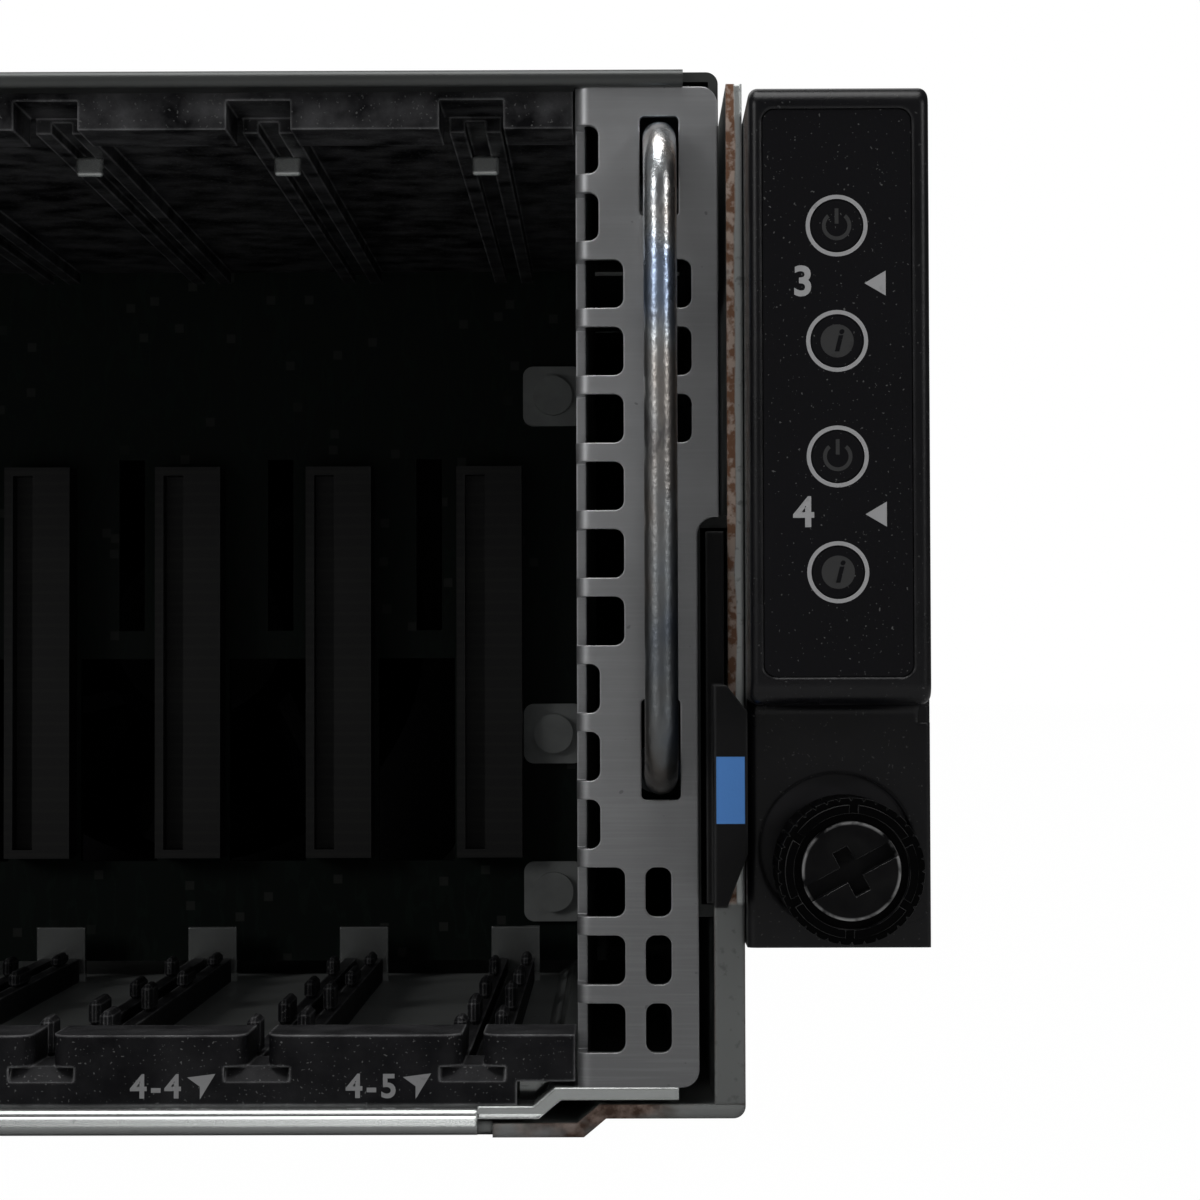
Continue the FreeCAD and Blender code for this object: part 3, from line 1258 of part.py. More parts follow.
def sled_board(number, x, z):
    """Main board on its spacers, two finned heat sinks, memory rows and rear ports."""
    sheet = S.sled_sheet
    board_low = sheet + S.board_rise
    board_top = board_low + S.board_thick
    front, rear = S.sled_front, S.chassis_length
    board = new_body(f"main_board_{number}")
    add(board, "XZ_Plane",
        rectangle(S.board_edge, S.sled_wide - S.board_edge, board_low, board_top),
        front + sheet, rear - sheet * 4)
    spots = [(u, v, S.spacer_r) for u in (S.spacer_in, S.sled_wide - S.spacer_in)
             for v in (front + S.spacer_end, rear - S.spacer_end)]
    add(board, "XY_Plane", {"circles": spots}, sheet, board_low)
    members = [board]
    left = (S.sled_wide - S.sink_size) / 2
    for step in range(2):
        sink = new_body(f"heat_sink_{number}_{step}")
        near = front + S.sink_first + S.sink_step * step
        add(sink, "XZ_Plane", rectangle(left, left + S.sink_size, board_top, S.sink_top),
            near, near + S.sink_size)
        fin = S.sink_size / (S.sink_fins * 2 - 1)
        groove = cut(sink, "XZ_Plane",
                     rectangle(left + fin, left + fin * 2, board_top + S.sink_base, S.sink_top + 1),
                     near - 1, near + S.sink_size + 1)
        row(sink, groove, "X", fin * 2, S.sink_fins - 1)
        members.append(sink)
    memory = new_body(f"memory_{number}")
    left = (S.sled_wide - S.memory_long) / 2
    near = front + S.memory_first
    stick = add(memory, "XZ_Plane",
                rectangle(left, left + S.memory_long, board_top, S.memory_top),
                near, near + S.board_thick)
    row(memory, stick, "Y", S.memory_pitch, S.memory_count)
    members.append(memory)
    for step, (port_left, width, height) in enumerate(PORTS):
        port = new_body(f"port_{number}_{step}")
        left, right = port_left + S.port_fit, port_left + width - S.port_fit
        top = PORT_LOW + height - S.port_fit
        wall = S.port_shell
        add(port, "XZ_Plane", rectangle(left, right, PORT_LOW, top), rear - S.port_long, rear)
        cut(port, "XZ_Plane", rectangle(left + wall, right - wall, PORT_LOW + wall, top - wall),
            rear - S.port_open, rear + 1)
        members.append(port)
    made = group(f"sled_board_{number}", members)
    for member in members:
        place(member, x=x, z=z)
    return made


def sled_lever(number, x, z):
    """Release lever that swings out from the rear panel about an upright boss."""
    body = new_body(f"sled_lever_{number}")
    boss, gap = S.lever_boss, S.lever_gap
    tall = S.lever_tall
    add(body, "XY_Plane", {"circles": [(0, 0, boss)]}, 0, tall)
    near = -boss
    arm = [(-S.lever_long + boss, near), (0, near), (0, near + S.lever_thick),
           (-S.lever_long + boss * 3, near + S.lever_thick),
           (-S.lever_long + boss, near + S.lever_thick * 2)]
    add(body, "XY_Plane", arm, 0, tall)
    place(body, x=x + PIVOT_X, y=S.chassis_length + gap + boss, z=z + PIVOT_Z)
    return body


PIVOT_X = S.lever_long + S.sled_vent_pitch
PIVOT_Z = S.board_rise


def supply(number, z):
    """Power supply case with a fan grille, an inlet and a moulded pull handle."""
    body = new_body(f"power_supply_{number}")
    half = S.supply_wide / 2
    rear = S.chassis_length
    front = rear - S.supply_long
    add(body, "XZ_Plane", rectangle(-half, half, 0, S.supply_tall, S.floor_sheet), front, rear)
    start, low = -half + S.inlet_edge, (S.supply_tall - S.inlet_tall) / 2
    inlet = rectangle(start, start + S.inlet_wide, low, low + S.inlet_tall, S.inlet_round)
    cut(body, "XZ_Plane", inlet, rear - S.inlet_deep, rear + 1)
    slit = rectangle(0, S.slit_thick, S.slit_edge, S.supply_tall - S.slit_edge)
    grille = cut(body, "XZ_Plane", slit, rear - S.slit_thick, rear + 1)
    row(body, grille, "X", S.slit_pitch, S.slit_count)
    bar, wide = S.bail_thick, S.bail_wide
    left = half - wide - S.bail_edge
    middle = S.supply_tall / 2
    loop = [(left, rear), (left, rear + S.bail_out, bar), (left + wide, rear + S.bail_out, bar),
            (left + wide, rear), (left + wide - bar, rear), (left + wide - bar, rear + S.bail_out - bar),
            (left + bar, rear + S.bail_out - bar), (left + bar, rear)]
    add(body, "XY_Plane", loop, middle - bar, middle + bar)
    place(body, z=z)
    return body


def supply_latch(number, z):
    """Latch tab beside the handle, pressed sideways to release the supply."""
    body = new_body(f"supply_latch_{number}")
    boss, gap = S.lever_boss, S.lever_gap
    tall = S.latch_tall
    add(body, "XY_Plane", {"circles": [(0, 0, boss)]}, 0, tall)
    add(body, "XY_Plane", [(-boss, 0), (0, 0), (0, S.latch_long), (-boss, S.latch_long)], 0, tall)
    place(body, x=S.supply_wide / 2 - boss - gap, y=S.chassis_length + gap + boss,
          z=z + (S.supply_tall - tall) / 2)
    return body


def build():
    """Makes every piece and returns those that become nodes."""
    wall, flange, housing = side_wall(), rack_flange(), control_housing()
    bracket, handle = cage_bracket(), wire_handle()
    nodes = [base_pan(), wall, mirror("side_wall_left", wall), flange,
             mirror("rack_flange_left", flange), housing, mirror("control_housing_left", housing),
             control_overlays(), button_boards(), bay_dividers(), bay_shelves(), midplane_board(),
             power_board(), fan_tray(), fan_frames(), rear_cover(), fan_cover(), tag_channel(),
             cage_floor(), cage_roof(), bracket, mirror("cage_bracket_left", bracket),
             slot_guide_bottom(), slot_guide_top(), backplane_board(), backplane_sockets(),
             backplane_screws(), handle, mirror("wire_handle_left", handle), info_tag(),
             thumbscrew("thumbscrew_right", 1), thumbscrew("thumbscrew_left", -1)]
    for number in range(1, 5):
        side, step = (-1 if number < 3 else 1), 2 * ((number - 1) % 2)
        nodes.append(button(f"power_button_{number}", side, step))
        nodes.append(button(f"id_button_{number}", side, step + 1))
        nodes.append(fan_rotor(number))
    for number, (x, z) in enumerate(sled_places(), start=1):
        nodes += [sled_tray(number, x, z), sled_board(number, x, z), sled_lever(number, x, z)]
    for number, z in enumerate((HIGH_BAY, S.pan_sheet + S.play), start=1):
        nodes += [supply(number, z), supply_latch(number, z)]
    DOC.recompute()
    return nodes


def check_objects():
    """Stops if any object of the document failed."""
    for item in DOC.Objects:
        if "Invalid" in item.State or "Error" in item.State:
            raise RuntimeError(f"{item.Label} failed: {item.State}")


def export(nodes):
    """Writes each node's solids, once all are whole."""
    for node in nodes:
        shape = node.Shape
        if shape.isNull() or not shape.isValid() or not shape.Solids:
            raise RuntimeError(f"{node.Label} has no valid solid")
    os.makedirs(OUT_FOLDER, exist_ok=True)
    for node in nodes:
        node.Shape.exportStep(os.path.join(OUT_FOLDER, f"{node.Label}.step"))


NODES = build()
check_objects()
export(NODES)
print(f"{len(NODES)} nodes written")
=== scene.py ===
"""Looks of the multi-node server chassis: finishes, printed marks and small fittings on its CAD frame."""

import math

import bmesh
import bpy
from mathutils import Matrix, Vector


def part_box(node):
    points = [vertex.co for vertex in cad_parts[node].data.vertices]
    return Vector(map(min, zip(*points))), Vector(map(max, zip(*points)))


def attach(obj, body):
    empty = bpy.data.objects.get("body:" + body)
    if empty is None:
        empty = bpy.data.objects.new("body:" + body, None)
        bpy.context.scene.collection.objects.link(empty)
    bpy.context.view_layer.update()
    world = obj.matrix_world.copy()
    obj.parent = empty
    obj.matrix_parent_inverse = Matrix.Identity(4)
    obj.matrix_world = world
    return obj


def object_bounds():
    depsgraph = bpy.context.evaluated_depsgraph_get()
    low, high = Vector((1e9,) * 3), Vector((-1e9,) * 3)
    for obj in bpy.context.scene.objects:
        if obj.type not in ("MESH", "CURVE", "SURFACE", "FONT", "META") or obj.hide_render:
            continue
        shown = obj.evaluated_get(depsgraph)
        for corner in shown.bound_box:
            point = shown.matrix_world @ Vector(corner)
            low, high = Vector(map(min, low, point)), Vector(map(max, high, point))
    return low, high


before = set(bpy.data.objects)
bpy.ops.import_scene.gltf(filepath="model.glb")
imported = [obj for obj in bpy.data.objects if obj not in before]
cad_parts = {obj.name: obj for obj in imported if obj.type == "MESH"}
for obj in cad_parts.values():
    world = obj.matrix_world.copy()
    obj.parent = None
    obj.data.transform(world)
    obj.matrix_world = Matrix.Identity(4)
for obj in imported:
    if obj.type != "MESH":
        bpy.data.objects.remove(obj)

bl_info = {
    "name": "Server chassis looks",
    "version": (1, 0, 0),
    "blender": (4, 5, 0),
    "location": "View3D > Sidebar > Chassis",
    "description": "Finishes, printed marks and small fittings of a multi-node server chassis",
    "category": "Object",
}

CAD_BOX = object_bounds()
MM = 0.001

# Width over which a crisp mask fades
CRISP = 0.05 * MM

# Places and counts of the frame
WALL_LOW, WALL_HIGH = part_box("side_wall_right")
FRONT = WALL_LOW[1]
REAR = WALL_HIGH[1]
WALL_FACE = WALL_HIGH[0]
TOP = CAD_BOX[1][2]
OVERLAY_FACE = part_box("control_overlays")[0][1]
SIDES = {"left": -1, "right": 1}
SLED_COUNT = 4
FAN_COUNT = 4
SUPPLY_COUNT = 2
SLOT_COUNT = 24
SLOT_GROUPS = 4
SLOT_PITCH = 17.55 * MM

# Sheet metal
FOLD_TOP = 18.7 * MM
OUTER_LAYER = 0.6 * MM
FLOOR_TOP = 3.2 * MM
RIVET_COUNT = 9
RIVET_FIRST = 90.0 * MM
RIVET_PITCH = 80.0 * MM
RIVET_HEIGHTS = (9.0 * MM, 78.0 * MM)
RIVET_RADIUS = 2.4 * MM
RIVET_PROUD = 0.7 * MM
SCREW_COUNT = 5
SCREW_INSET = 9.0 * MM
SCREW_RADIUS = 2.9 * MM
SCREW_BORE = 3.2 * MM
CROSS_REACH = 1.7 * MM
CROSS_HALF = 0.35 * MM

# Control ears, thumbscrews and tag
LEDGE = 35.0 * MM
CAP_SIZE = (1.4 * MM, 14.8 * MM, 2.4 * MM)
CAP_INSET = 0.72 * MM
CAP_BACK = 15.5 * MM
CAP_DROP = 0.5 * MM
CAP_EDGE = 0.15 * MM
RECESS_RADIUS = 6.15 * MM
RECESS_SHIFT = Vector((-0.5 * MM, 0.0, 1.2 * MM))
RECESS_FACE = FRONT - 2.0 * MM
KNOB_BORE = 3.86 * MM
KNOB_RUB = 3.58 * MM
LABEL_HEIGHTS = (6.6 * MM, 11.9 * MM)
LABEL_SPAN = (221.5 * MM, 223.75 * MM)
LABEL_DEPTH = 0.2 * MM

# Prints
FACING_FRONT = Matrix.Rotation(math.radians(90), 4, "X")
PRINT_PROUD = 0.03 * MM
PRINT_WEIGHT = 0.035
CAPITAL_SHARE = 0.69
POWER_OUTER = 1.15 * MM
POWER_INNER = 0.85 * MM
POWER_GAP = 0.75 * MM
POWER_BAR = (0.3 * MM, PRINT_PROUD, 1.2 * MM)
SIGN_DISC = 1.3 * MM
SIGN_HEIGHT = 1.75 * MM
SIGN_SLANT = 0.25
DIGIT_SHIFT = Vector((-2.65 * MM, 0.0, 0.06 * MM))
POINTER_SHIFT = Vector((3.0 * MM, 0.0, 0.0))
POINTER_TIP = 0.85 * MM
MARK_RISE = 1.45 * MM
MARK_SHIFT = 8.2 * MM
MARK_SPREAD = 1.22
ARROW_SHIFT = 4.5 * MM
ARROW_RISE = 0.2 * MM
ARROW_TIP = 1.15 * MM

# Fingers and tabs in the drive cage
RAIL_TOP = 2.7 * MM
RAIL_WALL = 1.525 * MM
FINGER_COUNT = 8
FINGER_START = 11.0 * MM
FINGER_RUN = 100.0 * MM
FINGER_WIDE = 1.15 * MM
FINGER_EDGE = 0.4 * MM
TAB_SIZE = (2.4 * MM, 0.6 * MM, 1.8 * MM)
TAB_SHIFT = 0.35 * MM
TAB_BACK = 20.5 * MM
TAB_DROP = 3.3 * MM
TAB_EDGE = 0.2 * MM

# Sled boards and power supplies
BOARD_TOP = 4.65 * MM
SINK_SPANS = ((63.0 * MM, 144.0 * MM), (268.0 * MM, 350.0 * MM))
PORT_DEPTH = 19.5 * MM
CHIP_PITCH = 15.0 * MM
CHIP_HEIGHTS = (11.0 * MM, 26.0 * MM)
INLET_SPAN = (7.6 * MM, 34.4 * MM)
INLET_DEPTH = 17.4 * MM
GRILLE_START = -0.4 * MM
GRILLE_DEPTH = 3.4 * MM
CASE_RIM = 2.6 * MM

# Stage
SUBJECT = (0.2, -0.38, 0.05)
FLOOR_HALF = 6.0
FLOOR_DROP = 0.4 * MM
FLOOR_GLOW = 0.995
SKY_LIGHT = 0.07
SENSOR = 36.0
WHITE = (1.0, 1.0, 1.0, 1.0)


class ChassisLooks(bpy.types.PropertyGroup):
    """Colours and sizes that someone who repaints the chassis would change."""

    plate_colour: bpy.props.FloatVectorProperty(
        name="Plate", description="Brushed end brackets of the drive cage", subtype="COLOR",
        default=(0.49, 0.495, 0.505))
    zinc_colour: bpy.props.FloatVectorProperty(
        name="Zinc", description="Bright zinc sheet", subtype="COLOR", default=(0.55, 0.57, 0.56))
    rust_colour: bpy.props.FloatVectorProperty(
        name="Rust", description="Brown bloom on cut edges", subtype="COLOR",
        default=(0.085, 0.042, 0.024))
    plastic_colour: bpy.props.FloatVectorProperty(
        name="Plastic", description="Black mouldings", subtype="COLOR",
        default=(0.0034, 0.0033, 0.0045))
    ink_colour: bpy.props.FloatVectorProperty(
        name="Ink", description="Grey print on the overlays and guides", subtype="COLOR",
        default=(0.5, 0.5, 0.51))
    label_colour: bpy.props.FloatVectorProperty(
        name="Label", description="Blue field on the tag's grip", subtype="COLOR",
        default=(0.11, 0.32, 0.8))
    board_colour: bpy.props.FloatVectorProperty(
        name="Board", description="Circuit boards", subtype="COLOR", default=(0.006, 0.012, 0.009))
    tab_colour: bpy.props.FloatVectorProperty(
        name="Release tab", description="Levers and latches at the rear", subtype="COLOR",
        default=(0.02, 0.07, 0.28))
    ring_radius: bpy.props.FloatProperty(
        name="Ring radius", description="Outer radius of a printed ring", subtype="DISTANCE",
        default=2.42 * MM)
    ring_width: bpy.props.FloatProperty(
        name="Ring width", description="Width of a printed ring", subtype="DISTANCE",
        default=0.32 * MM)
    digit_height: bpy.props.FloatProperty(
        name="Digit height", description="Height of the sled numbers", subtype="DISTANCE",
        default=2.25 * MM)
    mark_height: bpy.props.FloatProperty(
        name="Slot mark height", description="Height of the slot marks", subtype="DISTANCE",
        default=1.85 * MM)


class PhotoView(bpy.types.PropertyGroup):
    """Where the camera stands for the photograph's view."""

    place_x: bpy.props.FloatProperty(
        name="Across", description="Camera from the middle of the chassis", subtype="DISTANCE",
        default=213.75 * MM)
    distance: bpy.props.FloatProperty(
        name="Distance", description="Camera before the cage's front face", subtype="DISTANCE",
        default=261.64 * MM)
    height: bpy.props.FloatProperty(
        name="Height", description="Camera above the underside", subtype="DISTANCE",
        default=36.39 * MM)
    lens: bpy.props.FloatProperty(
        name="Lens", description="Focal length for a 36 mm sensor", unit="CAMERA", default=96.6)
    pitch: bpy.props.FloatProperty(
        name="Pitch", description="Camera tilted up", subtype="ANGLE", default=math.radians(1.556))
    roll: bpy.props.FloatProperty(
        name="Roll", description="Camera turned about its axis", subtype="ANGLE",
        default=math.radians(-0.169))
    yaw: bpy.props.FloatProperty(
        name="Yaw", description="Camera turned to the left", subtype="ANGLE",
        default=math.radians(0.312))


# Shader sockets whose titles aren't the plain words with capitals
SOCKETS = {"specular_ior_level": "Specular IOR Level"}


class Value:
    """A shader socket; arithmetic with it adds Math nodes to its finish."""

    def __init__(self, finish, socket):
        self.finish = finish
        self.socket = socket

    def math(self, operation, *others, clamp=False):
        """One Math node on this value and the others."""
        settings = {"operation": operation, "use_clamp": clamp}
        return self.finish.node("ShaderNodeMath", settings, [self, *others])

    def __add__(self, other):
        return self.math("ADD", other)

    def __sub__(self, other):
        return self.math("SUBTRACT", other)

    def __mul__(self, other):
        return self.math("MULTIPLY", other)

    def __truediv__(self, other):
        return self.math("DIVIDE", other)

    def __rsub__(self, other):
        return self.math("MULTIPLY", -1.0).math("ADD", other)

    __radd__ = __add__
    __rmul__ = __mul__

    def above(self, limit, soft):
        """0 below the limit, 1 once it is past by the soft amount."""
        return ((self - limit) / soft).math("ADD", 0.0, clamp=True)

    def below(self, limit, soft):
        """1 below the limit, 0 once it is past by the soft amount."""
        return 1.0 - self.above(limit, soft)

    def within(self, low, high, soft):
        """1 between two limits, softened past each."""
        return self.above(low, soft) * self.below(high, soft)


class Finish:
    """A material with one Principled shader and the nodes that feed it."""

    def __init__(self, name):
        self.material = bpy.data.materials.new(name)
        self.material.use_nodes = True
        self.tree = self.material.node_tree
        self.shader = self.tree.nodes["Principled BSDF"]
        self.points = None

    def node(self, kind, settings=None, inputs=None, output=0):
        """A node of a kind: its settings first, then values or links for its sockets."""
        made = self.tree.nodes.new(kind)
        for key, value in (settings or {}).items():
            setattr(made, key, value)
        pairs = inputs.items() if isinstance(inputs, dict) else enumerate(inputs or [])
        for key, value in pairs:
            self.feed(made.inputs[key], value)
        return Value(self, made.outputs[output])

    def feed(self, socket, value):
        """Links a value to a socket, or sets a plain number or colour there."""
        if isinstance(value, Value):
            self.tree.links.new(value.socket, socket)
        else:
            socket.default_value = value

    def give(self, **sockets):
        """Sets the shader's sockets, named in lower case with underscores."""
        for name, value in sockets.items():
            title = SOCKETS.get(name, name.replace("_", " ").title())
            self.feed(self.shader.inputs[title], value)

    def place(self):
        """Object coordinates, which are places in the chassis frame in metres."""
        if self.points is None:
            self.points = self.node("ShaderNodeTexCoord", output="Object")
        return self.points

    def axes(self):
        """The three coordinates of a place."""
        split = self.node("ShaderNodeSeparateXYZ", None, [self.place()])
        outputs = split.socket.node.outputs
        return [Value(self, outputs[axis]) for axis in "XYZ"]

    def noise(self, scale, detail=3.0, stretch=(1.0, 1.0, 1.0), roughness=0.55):
        """Noise with so many features to the metre, drawn out where stretch is small."""
        drawn = self.node("ShaderNodeMapping", None, {"Vector": self.place(), "Scale": stretch})
        sockets = {"Vector": drawn, "Scale": scale, "Detail": detail, "Roughness": roughness}
        return self.node("ShaderNodeTexNoise", None, sockets)

    def cells(self, scale, **settings):
        """Distance to the nearest of scattered points, so many to the metre."""
        sockets = {"Vector": self.place(), "Scale": scale}
        return self.node("ShaderNodeTexVoronoi", settings, sockets)

    def blend(self, factor, first, second):
        """Colour between two colours."""
        sockets = {0: factor, 6: colour(first), 7: colour(second)}
        return self.node("ShaderNodeMix", {"data_type": "RGBA"}, sockets, output=2)

    def soft_edges(self, radius):
        """Normal of a surface whose edges are broken by a small radius."""
        return self.node("ShaderNodeBevel", {"samples": 6}, {"Radius": radius})

    def edges(self, rounded):
        """How far a softened normal turns from the flat one: 0 on a face, more along edges."""
        settings = {"operation": "DOT_PRODUCT"}
        return 1.0 - self.node("ShaderNodeVectorMath", settings, [rounded, self.facing()], output="Value")

    def facing(self):
        """Direction that a face looks in, without any softening."""
        return self.node("ShaderNodeNewGeometry", output="True Normal")

    def bump(self, height, depth, under=None):
        """Normal of a surface whose height varies by a depth in metres."""
        sockets = {"Height": height, "Distance": depth, "Strength": 1.0}
        if under is not None:
            sockets["Normal"] = under
        return self.node("ShaderNodeBump", None, sockets)


def colour(value):
    """A colour with its alpha, or a link as it is."""
    return value if isinstance(value, Value) else (*value[:3], 1.0)


def shade(base, factor):
    """A colour made lighter or darker."""
    return tuple(part * factor for part in base[:3])


def shade_link(finish, tone, factor):
    """A linked colour made lighter or darker."""
    sockets = [tone, (factor, factor, factor)]
    return finish.node("ShaderNodeVectorMath", {"operation": "MULTIPLY"}, sockets)


def distance(across, up):
    """How far a point is from an axis, from its two offsets."""
    return (across * across + up * up).math("SQRT")


def looks():
    """The colours and sizes in use."""
    return bpy.context.scene.chassis_looks


def brushed_zinc():
    """Grey zinc sheet with fine horizontal brush lines and soft clouds."""
    finish = Finish("brushed zinc")
    base = looks().plate_colour
    lines = finish.noise(900.0, 2.0, (0.12, 0.12, 6.0))
    clouds = finish.noise(55.0, 4.0)
    tone = finish.blend(clouds.within(0.3, 0.75, 0.35), shade(base, 0.8), shade(base, 1.18))
    _, _, z = finish.axes()
    # Painted shade: the plate is darker towards the bottom, down to 0.55 of its tone.
    tone = finish.blend(z.below(8.0 * MM, 55.0 * MM) * 0.9, tone, shade(base, 0.55))
    tone = finish.blend(lines.above(0.45, 0.3) * 0.12, tone, shade(base, 1.45))
    specks = finish.noise(1100.0, 1.0).above(0.76, 0.02)
    tone = finish.blend(specks * 0.5, tone, shade(base, 0.3))
    rounded = finish.soft_edges(0.22 * MM)
    # Painted highlight: the tone is lighter along the broken edges.
    tone = finish.blend(finish.edges(rounded).above(0.1, 0.2) * 0.4, tone, shade(base, 1.8))
    finish.give(base_color=tone, metallic=0.85, roughness=0.4 + 0.1 * lines,
                normal=finish.bump(lines, 0.006 * MM, rounded))
    return finish.material


def spangled(finish, base, clouds):
    """Zinc tone with soft clouds and a faint spangle."""
    tone = finish.blend(clouds, shade(base, 0.82), shade(base, 1.12))
    return finish.blend(finish.cells(420.0) * 0.22, tone, shade(base, 0.7))


def bright_zinc(name="bright zinc", tone_factor=1.0):
    """Bright zinc plate with a faint spangle and a few dark scuffs."""
    finish = Finish(name)
    base = shade(looks().zinc_colour, tone_factor)
    clouds = finish.noise(18.0, 4.0)
    scuffs = finish.noise(120.0, 5.0, (1.0, 0.25, 1.0)).above(0.66, 0.06)
    tone = finish.blend(scuffs * 0.4, spangled(finish, base, clouds), shade(base, 0.45))
    finish.give(base_color=tone, metallic=0.9, roughness=0.36 + 0.14 * clouds)
    return finish.material


def cover_zinc():
    """Bright zinc cover with flush cross-head screws along both side edges."""
    finish = Finish("cover zinc")
    base = looks().zinc_colour
    low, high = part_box("rear_cover")
    pitch = (high[1] - low[1]) / SCREW_COUNT
    x, y, z = finish.axes()
    across = x.math("ABSOLUTE") - (high[0] - SCREW_INSET)
    along = (((y - low[1]) / pitch).math("FRACT") - 0.5) * pitch
    reach = distance(across, along)
    top = z.above(high[2] - 0.2 * MM, CRISP)
    nearest = across.math("ABSOLUTE").math("MINIMUM", along.math("ABSOLUTE"))
    cross = nearest.below(CROSS_HALF, 0.03 * MM) * reach.below(CROSS_REACH, 0.03 * MM)
    # Painted shade: the cross recess is painted nearly black; the ring round each head is a dark joint.
    gap = (cross + reach.within(SCREW_RADIUS, SCREW_BORE, CRISP)).math("MINIMUM", 1.0) * top
    head = reach.below(SCREW_RADIUS, CRISP) * top
    clouds = finish.noise(18.0, 4.0)
    tone = finish.blend(head, spangled(finish, base, clouds), shade(base, 0.6))
    finish.give(base_color=finish.blend(gap, tone, shade(base, 0.05)), metallic=0.9 - 0.6 * gap,
                roughness=0.42 + 0.12 * clouds + 0.2 * gap)
    return finish.material


def roof_zinc():
    """Zinc roof of the cage: plain zinc on top, with painted shade on its hem and underside."""
    finish = Finish("roof zinc")
    base = looks().zinc_colour
    _, y, z = finish.axes()
    upper = z.above(TOP - 0.3 * MM, 0.1 * MM) * y.above(FRONT + 2.0 * MM, 3.0 * MM)
    clouds = finish.noise(18.0, 4.0)
    # Painted shade: the hem and underside take zinc at about a fifth of its tone.
    painted_shade_tone = finish.blend(clouds, shade(base, 0.18), shade(base, 0.25))
    top_tone = finish.blend(clouds, shade(base, 0.78), shade(base, 1.08))
    finish.give(base_color=finish.blend(upper, painted_shade_tone, top_tone), metallic=0.9, roughness=0.36 + 0.14 * clouds)
    return finish.material


def lip_zinc(name="lip zinc"):
    """Smooth bright zinc of the cage floor and its rolled lip."""
    finish = Finish(name)
    base = looks().zinc_colour
    clouds = finish.noise(40.0, 4.0, (0.3, 1.0, 1.0))
    nicks = finish.noise(420.0, 3.0).above(0.68, 0.04)
    tone = finish.blend(clouds, shade(base, 1.2), shade(base, 1.4))
    _, y, z = finish.axes()
    # Painted shade: the floor is darker deeper in the bay, down to 0.8 of its tone.
    tone = finish.blend(y.above(FRONT + 40.0 * MM, 30.0 * MM), tone, shade(base, 0.8))
    # Painted shade: the lowest part of the lip is darker, at 0.6 of its tone.
    tone = finish.blend(z.below(0.7 * MM, 0.5 * MM), tone, shade(base, 0.6))
    floor = y.above(FRONT + 4.0 * MM, MM) * z.below(FLOOR_TOP, 0.3 * MM)
    rounded = finish.soft_edges(0.3 * MM)
    bead = z.below(1.05 * MM, 0.85 * MM) * y.below(FRONT, 0.1 * MM)
    tone = finish.blend(floor, tone, finish.blend(clouds, shade(base, 0.7), shade(base, 1.5)))
    finish.give(base_color=finish.blend(nicks * 0.5, tone, shade(base, 0.5)), metallic=0.9 - 0.5 * floor,
                roughness=0.2 + 0.1 * clouds + 0.25 * floor,
                normal=finish.bump(bead, 0.5 * MM, finish.bump(clouds, 0.05 * MM, rounded)))
    return finish.material


def wall_zinc():
    """Zinc wall whose inner layer has gone brown on its cut front edge."""
    finish = Finish("wall zinc")
    base, rust = looks().zinc_colour, looks().rust_colour
    x, y, z = finish.axes()
    seam = WALL_FACE - OUTER_LAYER
    clouds = finish.noise(30.0, 4.0)
    grain = finish.noise(1100.0, 3.0)
    patches = finish.noise(230.0, 4.0, (1.0, 1.0, 0.4))
    doubled = z.below(FOLD_TOP, 0.3 * MM)
    sheet = finish.blend(clouds, shade(base, 1.25), shade(base, 1.7))
    sheet = finish.blend(doubled, sheet, finish.blend(clouds, shade(base, 0.4), shade(base, 0.6)))
    sheet = finish.blend(grain.above(0.6, 0.1) * 0.5, sheet, shade(base, 0.25))
    brown = finish.blend(grain.above(0.44, 0.12), shade(rust, 3.4), (0.66, 0.52, 0.44))
    reach = (patches - 0.5) * (1.1 * MM) + seam
    inner = 1.0 - ((x.math("ABSOLUTE") - reach) / (0.12 * MM)).math("ADD", 0.5, clamp=True)
    inner = inner * (1.0 - doubled * patches.below(0.62, 0.06))
    stain = inner * y.below(FRONT + 0.5 * MM, 0.4 * MM) * patches.above(0.3, 0.1)
    rounded = finish.soft_edges(0.45 * MM)
    rim = finish.edges(rounded).above(0.06, 0.2) * doubled * patches.above(0.4, 0.1)
    sheet = finish.blend(rim * 0.8, sheet, shade(rust, 1.3))
    finish.give(base_color=finish.blend(stain, sheet, brown), metallic=0.85 - 0.75 * stain,
                roughness=0.38 + 0.4 * stain, normal=finish.bump(grain * stain, 0.04 * MM, rounded))
    return finish.material


def pan_zinc():
    """Zinc base pan with dark brown cut edges at the front."""
    finish = Finish("pan zinc")
    base, rust = looks().zinc_colour, looks().rust_colour
    _, y, _ = finish.axes()
    clouds = finish.noise(30.0, 4.0)
    grain = finish.noise(900.0, 3.0)
    patches = finish.noise(170.0, 4.0, (0.5, 1.0, 1.0))
    sheet = finish.blend(clouds, shade(base, 0.7), shade(base, 1.0))
    brown = finish.blend(grain.above(0.4, 0.25), shade(rust, 0.7), (0.26, 0.19, 0.16))
    edge = finish.blend(patches.above(0.44, 0.12), brown, shade(base, 0.45))
    front = y.below(FRONT + 0.5 * MM, 0.4 * MM)
    rounded = finish.soft_edges(0.7 * MM)
    finish.give(base_color=finish.blend(front, sheet, edge), metallic=0.85 - 0.6 * front,
                roughness=0.34 + 0.34 * front, normal=finish.bump(grain * front, 0.04 * MM, rounded))
    return finish.material


